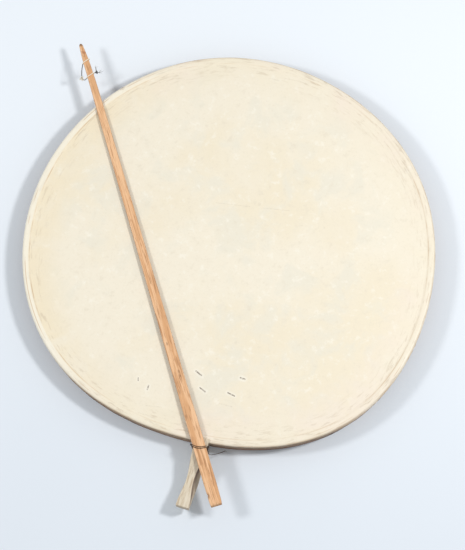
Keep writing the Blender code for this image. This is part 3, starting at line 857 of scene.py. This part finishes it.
def tip_band(wand, along):
    """One slanting turn round the wand, which begins and ends under it."""
    slope = TIP_LOOP_SLANT / wand_size(along)[0]
    start = wand_point(along, 0.0, 0.0)
    across = (WAND_ACROSS - slope * WAND_RUN).normalized()
    facing = UP.cross(across)
    cut = cut_points([wand], start, facing)
    band = tight_band(cut, start, across, TIP_BAND / 2 + TIP_CLEARANCE, 60)
    first = min(range(len(band)), key=lambda i: (abs(band[i][0]) > 0.001, band[i][1]))
    band = band[first:] + band[:first]
    return [start + x * across + z * UP for x, z in band] + [start + band[0][0] * across + band[0][1] * UP]


def tip_strands(bands, left, right, middle):
    """Paths of the strand to the left knot, the link back from it, the right end and its frayed tail."""
    width = wand_size(TIP_LOOPS[0])[0]
    bow_along, bow_across = (TIP_LOOPS[0] + LEFT_KNOT[0]) / 2, (LEFT_KNOT[1] - width / 2) / 2 - STRAND_BOW
    bow = wand_point(bow_along, bow_across, middle)
    start, landing = furthest(bands[0], -WAND_ACROSS), furthest(bands[1], -WAND_ACROSS)
    low = (left + landing) / 2 + LINK_DIP * WAND_RUN
    strand = relaxed([start, bow, left], THREAD_STEP, 30)
    link = relaxed([left, low, landing], THREAD_STEP, 20)
    end = [furthest(bands[1], WAND_ACROSS), right, wand_point(*RIGHT_END, middle)]
    fray = [wand_point(*place, middle) for place in RIGHT_FRAY]
    return strand, link, relaxed(end, THREAD_STEP, 8), relaxed(fray, 0.0005, 8)


def make_tip_tie(wand):
    """The thread, with a shade for each point: 1 where it is cream, 0 where it hangs free and grey."""
    shells, shades = [], []

    def add(new_shells, shade):
        shells.extend(new_shells)
        shades.extend([shade] * sum(len(points) for points, _ in new_shells))

    def add_thread(path, thickness, shade):
        add(twisted(path, thickness, 2, TIP_TWIST), shade)

    bands = [tip_band(wand, along) for along in TIP_LOOPS]
    middle = wand_size(TIP_LOOPS[0])[1] / 2
    left, right = wand_point(*LEFT_KNOT, middle), wand_point(*RIGHT_KNOT, middle)
    left_loops, right_loops = knot_path(left, LEFT_KNOT_SIZE, UP), knot_path(right, RIGHT_KNOT_SIZE, UP)
    strand, link, end, fray = tip_strands(bands, left, right, middle)
    for band in bands:
        add_thread(relaxed(band, 0.0004, 4), TIP_BAND, 1.0)
    add_thread(strand, TIP_THREAD, 0.0)
    add_thread(link, 0.9 * TIP_THREAD, 0.1)
    add_thread(end, 0.9 * TIP_THREAD, 0.15)
    add_thread(fray, 0.7 * TIP_THREAD, 0.05)
    add_thread(left_loops, TIP_THREAD, 0.9)
    add_thread(right_loops, 0.9 * TIP_THREAD, 0.0)
    add(fibres(end[-4:], 10, 0.0050, 0.00010, 53, -1.2 * WAND_RUN), 0.4)
    add(fibres(fray[-6:], 14, 0.0060, 0.00010, 57, 1.0 * WAND_ACROSS), 0.15)
    add(fibres(left_loops, 8, 0.0030, 0.00007, 59), 0.5)
    tie = new_piece("tip_tie_thread", shells, 80.0)
    add_attribute(tie, "shade", np.array(shades))
    return tie


# Materials

def new_material(name, roughness):
    material = bpy.data.materials.new(name)
    material.use_nodes = True
    shader = material.node_tree.nodes["Principled BSDF"]
    shader.inputs["Roughness"].default_value = roughness
    return material, material.node_tree, shader


def node(tree, kind, inputs, **settings):
    """Adds a node. Inputs are given by name or number, each as a value or as another node's output."""
    made = tree.nodes.new(kind)
    for name, value in settings.items():
        setattr(made, name, value)
    for key, value in inputs.items():
        if isinstance(value, bpy.types.NodeSocket):
            tree.links.new(value, made.inputs[key])
        else:
            made.inputs[key].default_value = value
    return made


def object_place(tree):
    return node(tree, "ShaderNodeTexCoord", {}).outputs["Object"]


def stored(tree, name, output):
    return node(tree, "ShaderNodeAttribute", {}, attribute_name=name).outputs[output]


def parts(tree, vector):
    return node(tree, "ShaderNodeSeparateXYZ", {0: vector}).outputs


def vectors(tree, operation, *values):
    """Arithmetic on vectors. A distance or dot product is a number, and anything else a vector."""
    output = "Value" if operation in ("DISTANCE", "DOT_PRODUCT") else "Vector"
    return node(tree, "ShaderNodeVectorMath", dict(enumerate(values)), operation=operation).outputs[output]


def mottle(tree, place, scale, detail=3.0, roughness=0.5, distortion=0.0):
    inputs = {"Vector": place, "Scale": scale, "Detail": detail, "Roughness": roughness}
    return node(tree, "ShaderNodeTexNoise", {**inputs, "Distortion": distortion}).outputs["Fac"]


def streaked(tree, grain, scale, detail, roughness=0.5, distortion=0.0):
    """Mottling drawn out by a scale along the grain, one across it and one through it."""
    return mottle(tree, vectors(tree, "MULTIPLY", grain, scale), 1.0, detail, roughness, distortion)


def ramp(tree, value, low, high, to_low=0.0, to_high=1.0):
    inputs = {"Value": value, "From Min": low, "From Max": high, "To Min": to_low, "To Max": to_high}
    return node(tree, "ShaderNodeMapRange", inputs, interpolation_type="SMOOTHSTEP").outputs[0]


def calc(tree, operation, first, second):
    return node(tree, "ShaderNodeMath", {0: first, 1: second}, operation=operation).outputs[0]


def times(tree, first, second):
    return calc(tree, "MULTIPLY", first, second)


def larger(tree, first, second):
    return calc(tree, "MAXIMUM", first, second)


def blend(tree, share, first, second):
    def colour(value):
        return value if isinstance(value, bpy.types.NodeSocket) else (*value, 1.0)

    inputs = {0: share, 6: colour(first), 7: colour(second)}
    return node(tree, "ShaderNodeMix", inputs, data_type="RGBA").outputs[2]


def near(tree, place, spot, inner, outer):
    """1 within the inner distance of a spot and 0 beyond the outer."""
    return ramp(tree, vectors(tree, "DISTANCE", place, spot), inner, outer, 1.0, 0.0)


def near_line(tree, place, start, end, inner, outer):
    """1 within the inner distance of the line from start to end and 0 beyond the outer."""
    run = Vector(end) - Vector(start)
    offset = vectors(tree, "SUBTRACT", place, start)
    along = vectors(tree, "DOT_PRODUCT", offset, run / run.length_squared)
    share = node(tree, "ShaderNodeClamp", {0: along, 1: 0.0, 2: 1.0}).outputs[0]
    return near(tree, offset, vectors(tree, "MULTIPLY", run, share), inner, outer)


def band(tree, value, middle, half_width):
    """1 where the value is at the middle, fading to 0 at half a width away."""
    off = node(tree, "ShaderNodeMath", {0: calc(tree, "SUBTRACT", value, middle)}, operation="ABSOLUTE")
    return ramp(tree, off.outputs[0], 0.3 * half_width, half_width, 1.0, 0.0)


def bump(tree, shader, height, distance, strength=1.0):
    inputs = {"Height": height, "Distance": distance, "Strength": strength}
    made = node(tree, "ShaderNodeBump", inputs)
    tree.links.new(made.outputs[0], shader.inputs["Normal"])


# Small cuts and rubbed places on the skin, in the part's own frame: start, end and half width
SLITS = (
    ((-0.0097, -0.1437), (-0.0009, -0.1483), 0.0012), ((0.0009, -0.1666), (0.0095, -0.1706), 0.0012),
    ((0.0417, -0.1652), (0.0522, -0.1679), 0.0011), ((0.0555, -0.1399), (0.0620, -0.1407), 0.0013),
    ((-0.0724, -0.1786), (-0.0732, -0.1846), 0.0011), ((-0.0898, -0.1708), (-0.0889, -0.1749), 0.0008),
)
SCRATCHES = (
    ((-0.0344, 0.1097), (0.0159, 0.1141), 0.0008), ((0.0344, 0.1160), (0.0740, 0.1202), 0.0008),
    ((-0.0700, -0.2080), (-0.0480, -0.2060), 0.0009), ((0.0330, -0.1830), (0.0520, -0.1842), 0.0012),
)
SPOTS = (
    (0.0343, -0.1004, 0.0030), (0.0380, -0.0909, 0.0030), (0.0156, -0.1196, 0.0024),
    (0.0773, -0.2098, 0.0030), (0.0288, 0.1204, 0.0040), (0.0966, 0.1020, 0.0024),
    (0.1295, 0.1055, 0.0026), (0.0384, 0.1490, 0.0026), (0.2794, 0.0921, 0.0032),
    (0.1835, 0.2697, 0.0034), (0.2156, 0.2442, 0.0030),
)
RIM_STAIN = (-0.2098, 0.2550, CREST_TOP)
FACE_HEIGHT = CREST_TOP - SKIN_DIP
FOLDS_ROUND = 13.0            # how finely the folds by the rim change along it, for each radius
FOLDS_ACROSS = 260.0          # how finely they change across it, for each metre
# Colours are linear
SKIN_PALE = (0.880, 0.800, 0.650)
SKIN_YELLOW = (0.865, 0.768, 0.590)
SKIN_GREY = (0.820, 0.765, 0.635)
SKIN_PINK = (0.885, 0.770, 0.640)
SKIN_WARM = (0.870, 0.745, 0.530)
SKIN_WHITE = (0.935, 0.880, 0.755)
SKIN_STAIN = (0.770, 0.690, 0.550)
SKIN_LINE = (0.560, 0.350, 0.170)
SKIN_FOLD_SHADE = (0.570, 0.460, 0.330)
SKIN_DIRT = (0.240, 0.190, 0.150)
SKIN_DEEP_BROWN = (0.300, 0.190, 0.105)


def along_rim(tree, place, inset):
    """A place for marks that are drawn out along the rim: the direction from the middle, and the inset."""
    outwards = vectors(tree, "MULTIPLY", place, (1.0, 1.0, 0.0))
    outwards = vectors(tree, "NORMALIZE", outwards)
    depth = node(tree, "ShaderNodeCombineXYZ", {2: times(tree, inset, FOLDS_ACROSS)}).outputs[0]
    return vectors(tree, "MULTIPLY_ADD", outwards, (FOLDS_ROUND, FOLDS_ROUND, 0.0), depth)


def skin_ground(tree, place, large, patches):
    """Cream skin with yellower areas, grey patches and small clouds."""
    colour = blend(tree, ramp(tree, large, 0.42, 0.66), SKIN_PALE, SKIN_YELLOW)
    colour = blend(tree, ramp(tree, patches, 0.48, 0.66, 0.0, 0.80), colour, SKIN_GREY)
    clouds = mottle(tree, place, 75.0, 5.0, 0.7, 0.2)
    colour = blend(tree, ramp(tree, clouds, 0.54, 0.74, 0.0, 0.60), colour, SKIN_STAIN)
    return blend(tree, ramp(tree, clouds, 0.46, 0.30, 0.0, 0.60), colour, SKIN_WHITE)


def skin_folds(tree, place, inset, large, patches, on_left, colour):
    """Warmer towards the rim, most of all on the left, with painted shade of fine folds along it."""
    warmth = times(tree, ramp(tree, inset, 0.075, 0.012), ramp(tree, patches, 0.34, 0.60, 0.25, 1.0))
    warm = blend(tree, ramp(tree, large, 0.40, 0.60), SKIN_YELLOW, SKIN_PINK)
    warm = blend(tree, on_left, warm, SKIN_WARM)
    colour = blend(tree, times(tree, warmth, 0.80), colour, warm)
    # Painted shade: darker lines along the rim where fine folds would be shaded.
    folds = mottle(tree, along_rim(tree, place, inset), 1.0, 4.0, 0.65)
    fold_shade = times(tree, ramp(tree, folds, 0.52, 0.68, 0.0, 0.50), ramp(tree, inset, 0.045, 0.008))
    return blend(tree, fold_shade, colour, SKIN_FOLD_SHADE)


def skin_rim(tree, place, inset, on_left, on_right, colour):
    """The painted highlight on the band over the hoop, the broken lines on both sides of it, and the worn
    edge.
    """
    # Painted highlight: the band over the hoop is whitened on the left side, where the light catches it.
    painted_rim_highlight = times(tree, ramp(tree, inset, 0.0098, 0.0080), on_left)
    colour = blend(tree, times(tree, painted_rim_highlight, 0.65), colour, SKIN_WHITE)
    broken = ramp(tree, mottle(tree, place, 24.0, 3.0), 0.40, 0.64)
    inner_line = times(tree, band(tree, inset, 0.0104, 0.0012), broken)
    scattered = ramp(tree, mottle(tree, place, 17.0, 2.0), 0.48, 0.60)
    outer_line = times(tree, band(tree, inset, 0.0042, 0.0010), scattered)
    on_sides = larger(tree, on_left, on_right)
    lines = larger(tree, inner_line, outer_line)
    lines = times(tree, lines, ramp(tree, on_sides, 0.0, 1.0, 0.22, 0.55))
    worn = ramp(tree, mottle(tree, place, 31.0, 3.0), 0.38, 0.62, 0.10, 0.50)
    worn_edge = times(tree, ramp(tree, inset, 0.0026, 0.0008), worn)
    worn_edge = times(tree, worn_edge, ramp(tree, on_left, 0.0, 1.0, 1.0, 0.0))
    return blend(tree, larger(tree, lines, worn_edge), colour, SKIN_LINE)


def skin_marks(tree, place, colour):
    """Adds the stain, slits, scratches and spots. Gives the colour, and how dark the slits are."""
    stained = ramp(tree, mottle(tree, place, 300.0, 2.0), 0.35, 0.60, 0.2, 0.9)
    stain = times(tree, near(tree, place, RIM_STAIN, 0.001, 0.006), stained)
    colour = blend(tree, stain, colour, SKIN_DEEP_BROWN)
    dark, pale, faint = 0.0, 0.0, 0.0
    for start, end, half in SLITS:
        start, end = (*start, FACE_HEIGHT), (*end, FACE_HEIGHT)
        dark = larger(tree, dark, near_line(tree, place, start, end, 0.5 * half, 1.3 * half))
        pale = larger(tree, pale, near_line(tree, place, start, end, 0.8 * half, 4.5 * half))
    for start, end, half in SCRATCHES:
        scratch = near_line(tree, place, (*start, FACE_HEIGHT), (*end, FACE_HEIGHT), 0.2 * half, half)
        faint = larger(tree, faint, scratch)
    for x, y, size in SPOTS:
        spot = near(tree, place, (x, y, FACE_HEIGHT), 0.1 * size, size)
        faint = larger(tree, faint, times(tree, spot, 0.8))
    ragged = ramp(tree, mottle(tree, place, 500.0, 2.0), 0.35, 0.60, 0.25, 1.0)
    colour = blend(tree, times(tree, pale, 0.55), colour, SKIN_WHITE)
    for share, strength in ((faint, 0.16), (dark, 0.95)):
        colour = blend(tree, times(tree, times(tree, share, strength), ragged), colour, SKIN_DIRT)
    return colour, dark


def skin_material():
    material, tree, shader = new_material("dried_skin", 0.5)
    place = object_place(tree)
    x, y, height = parts(tree, place)
    inset = stored(tree, "inset", "Fac")
    large = mottle(tree, place, 7.0, 4.0, 0.55)
    patches = mottle(tree, place, 19.0, 5.0, 0.6, 0.4)
    fine = mottle(tree, place, 260.0, 4.0, 0.65)
    on_left, on_right = ramp(tree, x, -0.10, -0.24), ramp(tree, x, 0.12, 0.26, 0.0, 0.6)
    colour = skin_ground(tree, place, large, patches)
    colour = skin_folds(tree, place, inset, large, patches, on_left, colour)
    colour = skin_rim(tree, place, inset, on_left, on_right, colour)

    # The skirt below the crest is painted a darker brown towards the handle
    below_crest = ramp(tree, height, CREST_TOP - 0.0012, CREST_TOP - 0.0035)
    skirt = times(tree, below_crest, ramp(tree, y, -0.14, -0.22, 0.15, 0.95))
    colour = blend(tree, times(tree, skirt, ramp(tree, inset, 0.0030, 0.0015)), colour, SKIN_DEEP_BROWN)
    colour = blend(tree, ramp(tree, fine, 0.50, 0.72, 0.0, 0.30), colour, SKIN_STAIN)
    colour, dark = skin_marks(tree, place, colour)
    tree.links.new(colour, shader.inputs["Base Color"])
    tree.links.new(ramp(tree, patches, 0.35, 0.70, 0.42, 0.60), shader.inputs["Roughness"])
    relief = calc(tree, "ADD", times(tree, fine, 0.5), mottle(tree, place, 900.0, 3.0))
    relief = calc(tree, "SUBTRACT", relief, times(tree, dark, 1.5))
    bump(tree, shader, relief, 0.00012, 0.6)
    return material


def wood_material(name, pale, dark, vein, fineness, roughness):
    """Wood with its grain along the stored grain coordinates."""
    material, tree, shader = new_material(name, roughness)
    grain = stored(tree, "grain", "Vector")
    bands = streaked(tree, grain, (9.0, 210 * fineness, 210 * fineness), 3.0, 0.55, 0.35)
    streaks = streaked(tree, grain, (40.0, 560 * fineness, 560 * fineness), 4.0, 0.6, 0.3)
    pores = streaked(tree, grain, (60.0, 2600 * fineness, 2600 * fineness), 2.0)
    clouds = streaked(tree, grain, (16.0, 60.0, 60.0), 2.0)
    colour = blend(tree, ramp(tree, bands, 0.40, 0.60), pale, dark)
    colour = blend(tree, ramp(tree, streaks, 0.50, 0.64, 0.0, 0.85), colour, vein)
    colour = blend(tree, ramp(tree, clouds, 0.40, 0.75, 0.0, 0.20), colour, pale)
    colour = blend(tree, ramp(tree, pores, 0.56, 0.70, 0.0, 0.45), colour, vein)
    dull = ramp(tree, streaks, 0.3, 0.8, roughness - 0.08, roughness + 0.12)
    tree.links.new(dull, shader.inputs["Roughness"])
    bump(tree, shader, calc(tree, "ADD", streaks, times(tree, pores, 0.6)), 0.0002, 0.5)
    return material, tree, shader, colour, grain


HOOP_PALE = (0.300, 0.150, 0.068)
HOOP_DARK = (0.180, 0.082, 0.036)
HOOP_VEIN = (0.070, 0.032, 0.015)
HOOP_HANDLED = (0.085, 0.048, 0.026)


def hoop_material():
    look = wood_material("bent_hoop_wood", HOOP_PALE, HOOP_DARK, HOOP_VEIN, 1.0, 0.55)
    material, tree, shader, colour, _ = look
    handled = ramp(tree, mottle(tree, object_place(tree), 16.0, 4.0, 0.6), 0.42, 0.68, 0.0, 0.6)
    colour = blend(tree, handled, colour, HOOP_HANDLED)
    tree.links.new(colour, shader.inputs["Base Color"])
    return material


WAND_PALE = (0.880, 0.540, 0.300)
WAND_DARK = (0.700, 0.370, 0.170)
WAND_VEIN = (0.440, 0.200, 0.080)
WAND_KNOT = (0.170, 0.065, 0.024)
WAND_TIP_DARK = (0.170, 0.085, 0.035)
WAND_TIP_SPOTS = (0.400, 0.130, 0.050)
WAND_FLANKS = (0.330, 0.150, 0.065)
WAND_BUTT_END = (0.220, 0.120, 0.055)
# Knots and stains of the wand: (along, across), size and strength
WAND_MARKS = (
    ((0.5234, 0.0020), 0.0024, 0.55), ((0.5300, 0.0019), 0.0018, 0.70), ((0.4795, -0.0031), 0.0020, 0.50),
    ((0.5525, -0.0052), 0.0030, 0.40), ((0.5900, -0.0060), 0.0028, 0.35), ((0.7090, -0.0080), 0.0036, 0.80),
)


def wand_marks(tree, grain, colour):
    """Adds the knots and stains, which go through the wood and are twice as long as wide."""
    stretched = vectors(tree, "MULTIPLY", grain, (0.5, 1.0, 0.0))
    ragged = ramp(tree, streaked(tree, grain, (90.0, 400.0, 400.0), 2.0), 0.3, 0.6, 0.4, 1.0)
    for (along, across), size, strength in WAND_MARKS:
        here = near(tree, stretched, (0.5 * along, across, 0.0), 0.1 * size, size)
        colour = blend(tree, times(tree, times(tree, here, strength), ragged), colour, WAND_KNOT)
    return colour


def wand_material():
    look = wood_material("split_wand_wood", WAND_PALE, WAND_DARK, WAND_VEIN, 1.0, 0.5)
    material, tree, shader, colour, grain = look
    colour = wand_marks(tree, grain, colour)
    along = parts(tree, grain)[0]
    tip = times(tree, ramp(tree, along, 0.0058, 0.0016), 0.85)
    colour = blend(tree, tip, colour, WAND_TIP_DARK)
    stained = streaked(tree, grain, (170.0, 420.0, 420.0), 3.0)
    near_tip = times(tree, ramp(tree, along, 0.033, 0.012), ramp(tree, along, 0.006, 0.014))
    spots = times(tree, near_tip, ramp(tree, stained, 0.48, 0.60, 0.0, 0.75))
    colour = blend(tree, spots, colour, WAND_TIP_SPOTS)
    level = parts(tree, node(tree, "ShaderNodeNewGeometry", {}).outputs["Normal"])[2]
    colour = blend(tree, ramp(tree, level, 0.92, 0.45, 0.0, 0.60), colour, WAND_FLANKS)
    butt = ramp(tree, along, WAND_LENGTH - 0.0035, WAND_LENGTH - 0.0008, 0.0, 0.70)
    colour = blend(tree, butt, colour, WAND_BUTT_END)
    tree.links.new(colour, shader.inputs["Base Color"])
    return material


HANDLE_PALE = (0.755, 0.660, 0.515)
HANDLE_DARK = (0.665, 0.560, 0.410)
HANDLE_VEIN = (0.520, 0.400, 0.270)
# Brown of the right flank, partly its own colour and partly painted shade
HANDLE_FLANK_BROWN_AND_SHADE = (0.120, 0.058, 0.030)
HANDLE_GRIME = (0.420, 0.330, 0.220)
HANDLE_BUTT_SHADE = (0.300, 0.210, 0.130)


def handle_material():
    look = wood_material("carved_handle_wood", HANDLE_PALE, HANDLE_DARK, HANDLE_VEIN, 0.8, 0.6)
    material, tree, shader, colour, grain = look
    out, _, height = parts(tree, grain)
    facing = node(tree, "ShaderNodeNewGeometry", {}).outputs["Normal"]
    # The right flank is darkened most near the ridge and along the waist: partly the wood's own brown,
    # partly painted shade where the wand's shadow falls.
    on_flank = ramp(tree, vectors(tree, "DOT_PRODUCT", facing, HANDLE_ACROSS), 0.25, 0.55)
    flank_streaks = ramp(tree, streaked(tree, grain, (30.0, 90.0, 90.0), 3.0), 0.30, 0.62, 0.65, 1.0)
    waist = times(tree, ramp(tree, out, 0.014, 0.030), ramp(tree, out, 0.100, 0.070, 0.35, 1.0))
    brown = times(tree, times(tree, on_flank, flank_streaks), waist)
    below_ridge = ramp(tree, height, 0.0270, 0.0310, 0.35, 1.0)
    colour = blend(tree, times(tree, brown, below_ridge), colour, HANDLE_FLANK_BROWN_AND_SHADE)
    grime = ramp(tree, streaked(tree, grain, (22.0, 60.0, 60.0), 4.0), 0.50, 0.75, 0.0, 0.35)
    colour = blend(tree, grime, colour, HANDLE_GRIME)
    # Painted shade on the bevelled end of the butt.
    butt = ramp(tree, out, HANDLE_REACH - 0.0010, HANDLE_REACH - 0.0001, 0.0, 0.55)
    colour = blend(tree, butt, colour, HANDLE_BUTT_SHADE)
    tree.links.new(colour, shader.inputs["Base Color"])
    return material


BRAID_PALE = (0.330, 0.210, 0.115)
BRAID_DARK = (0.140, 0.085, 0.045)
DARK_THREAD_WORN = (0.105, 0.055, 0.032)
DARK_THREAD_BLACK = (0.008, 0.005, 0.004)
PALE_THREAD_CREAM = (1.000, 0.930, 0.780)
PALE_THREAD_BUFF = (0.900, 0.770, 0.570)
FREE_THREAD_DARK = (0.035, 0.033, 0.035)
FREE_THREAD_GREY = (0.110, 0.105, 0.105)


def thread_material(name, pale, dark, scale, roughness):
    material, tree, shader = new_material(name, roughness)
    place = object_place(tree)
    fuzz = mottle(tree, place, scale, 4.0, 0.65)
    worn = mottle(tree, place, scale / 9, 3.0)
    colour = blend(tree, ramp(tree, fuzz, 0.32, 0.68), dark, pale)
    colour = blend(tree, ramp(tree, worn, 0.50, 0.72, 0.0, 0.5), colour, pale)
    tree.links.new(colour, shader.inputs["Base Color"])
    tree.links.new(ramp(tree, fuzz, 0.3, 0.7, roughness - 0.1, roughness + 0.1), shader.inputs["Roughness"])
    bump(tree, shader, fuzz, 0.0002, 0.7)
    return material, colour


def pale_thread_material():
    """Sinew: cream where it lies on the wood, dull grey where it hangs free."""
    material, cream = thread_material("pale_sinew_thread", PALE_THREAD_CREAM, PALE_THREAD_BUFF, 1900.0, 0.5)
    tree = material.node_tree
    fuzz = mottle(tree, object_place(tree), 1500.0, 3.0)
    grey = blend(tree, ramp(tree, fuzz, 0.35, 0.65), FREE_THREAD_DARK, FREE_THREAD_GREY)
    colour = blend(tree, stored(tree, "shade", "Fac"), grey, cream)
    tree.links.new(colour, tree.nodes["Principled BSDF"].inputs["Base Color"])
    return material


# Floor, lights and camera

FLOOR_SIZE = 5.0
# The floor's colour is painted darker towards the near side, standing in for light falling off across it.
FLOOR_FAR = (0.865, 0.905, 0.950)
FLOOR_NEAR = (0.760, 0.805, 0.860)
# Softboxes: name, place from the drum's middle, width and height, watts
SOFTBOXES = (
    ("right_softbox", (1.037, 0.220, 1.72), (0.24, 0.26), 18.3),
    ("left_softbox", (-1.457, -0.310, 1.72), (0.34, 0.34), 14.0),
)
SKY = (0.93, 0.97, 1.0)
SKY_STRENGTH = 0.505
CAMERA_TILT = 13.0            # from straight down, towards the handle
CAMERA_ROLL = 12.0
CAMERA_LENS = 135.0
CAMERA_PLACE = Vector((0.151825, -0.702829, 2.986220))   # from the drum's middle


def make_floor():
    bpy.ops.mesh.primitive_plane_add(size=FLOOR_SIZE, location=CENTRE)
    floor = bpy.context.object
    floor.name = "floor"
    material, tree, shader = new_material("pale_paper", 0.9)
    place = object_place(tree)
    # Painted light falloff: darker towards the near side.
    painted_falloff = ramp(tree, parts(tree, place)[1], 0.45, -0.45)
    cloudy = ramp(tree, mottle(tree, place, 3.0, 2.0), 0.35, 0.65, 0.97, 1.03)
    colour = blend(tree, times(tree, painted_falloff, cloudy), FLOOR_FAR, FLOOR_NEAR)
    tree.links.new(colour, shader.inputs["Base Color"])
    floor.data.materials.append(material)


def make_lights():
    for name, place, size, watts in SOFTBOXES:
        data = bpy.data.lights.new(name, "AREA")
        data.shape = "RECTANGLE"
        data.size, data.size_y = size
        data.energy = watts
        box = bpy.data.objects.new(name, data)
        box.location = CENTRE + Vector(place)
        box.rotation_euler = (CENTRE - box.location).to_track_quat("-Z", "Y").to_euler()
        bpy.context.scene.collection.objects.link(box)
    world = bpy.data.worlds.new("studio")
    world.use_nodes = True
    sky = world.node_tree.nodes["Background"]
    sky.inputs["Color"].default_value = (*SKY, 1.0)
    sky.inputs["Strength"].default_value = SKY_STRENGTH
    bpy.context.scene.world = world
    bpy.context.scene.view_settings.view_transform = "Standard"


def make_camera():
    tilt, roll = math.radians(CAMERA_TILT), math.radians(CAMERA_ROLL)
    right = Vector((math.cos(roll), math.sin(roll), 0.0))
    far_side = Vector((-math.sin(roll), math.cos(roll), 0.0))
    back = math.cos(tilt) * UP - math.sin(tilt) * far_side
    data = bpy.data.cameras.new("camera")
    data.lens = CAMERA_LENS
    camera = bpy.data.objects.new("camera", data)
    axes = Matrix((right, back.cross(right), back)).transposed()
    camera.matrix_world = Matrix.Translation(CENTRE + CAMERA_PLACE) @ axes.to_4x4()
    bpy.context.scene.collection.objects.link(camera)
    bpy.context.scene.camera = camera


def build():
    make_camera()
    make_lights()
    make_floor()
    drumhead = make_drumhead()
    hoop = make_hoop()
    cord = make_head_cord()
    handle = make_handle()
    wand = make_wand()
    wand_tie = make_wand_tie(wand, handle)
    tip_tie = make_tip_tie(wand)
    braid, _ = thread_material("braided_sinew_cord", BRAID_PALE, BRAID_DARK, 1500.0, 0.6)
    dark, _ = thread_material("dark_twisted_thread", DARK_THREAD_WORN, DARK_THREAD_BLACK, 1700.0, 0.7)
    stands_for(drumhead, "drumhead", skin_material())
    stands_for(hoop, "hoop", hoop_material())
    stands_for(cord, "head_cord", braid)
    stands_for(handle, "handle", handle_material())
    stands_for(wand, "wand", wand_material())
    stands_for(wand_tie, "wand_tie", dark)
    stands_for(tip_tie, "tip_tie", pale_thread_material())


build()
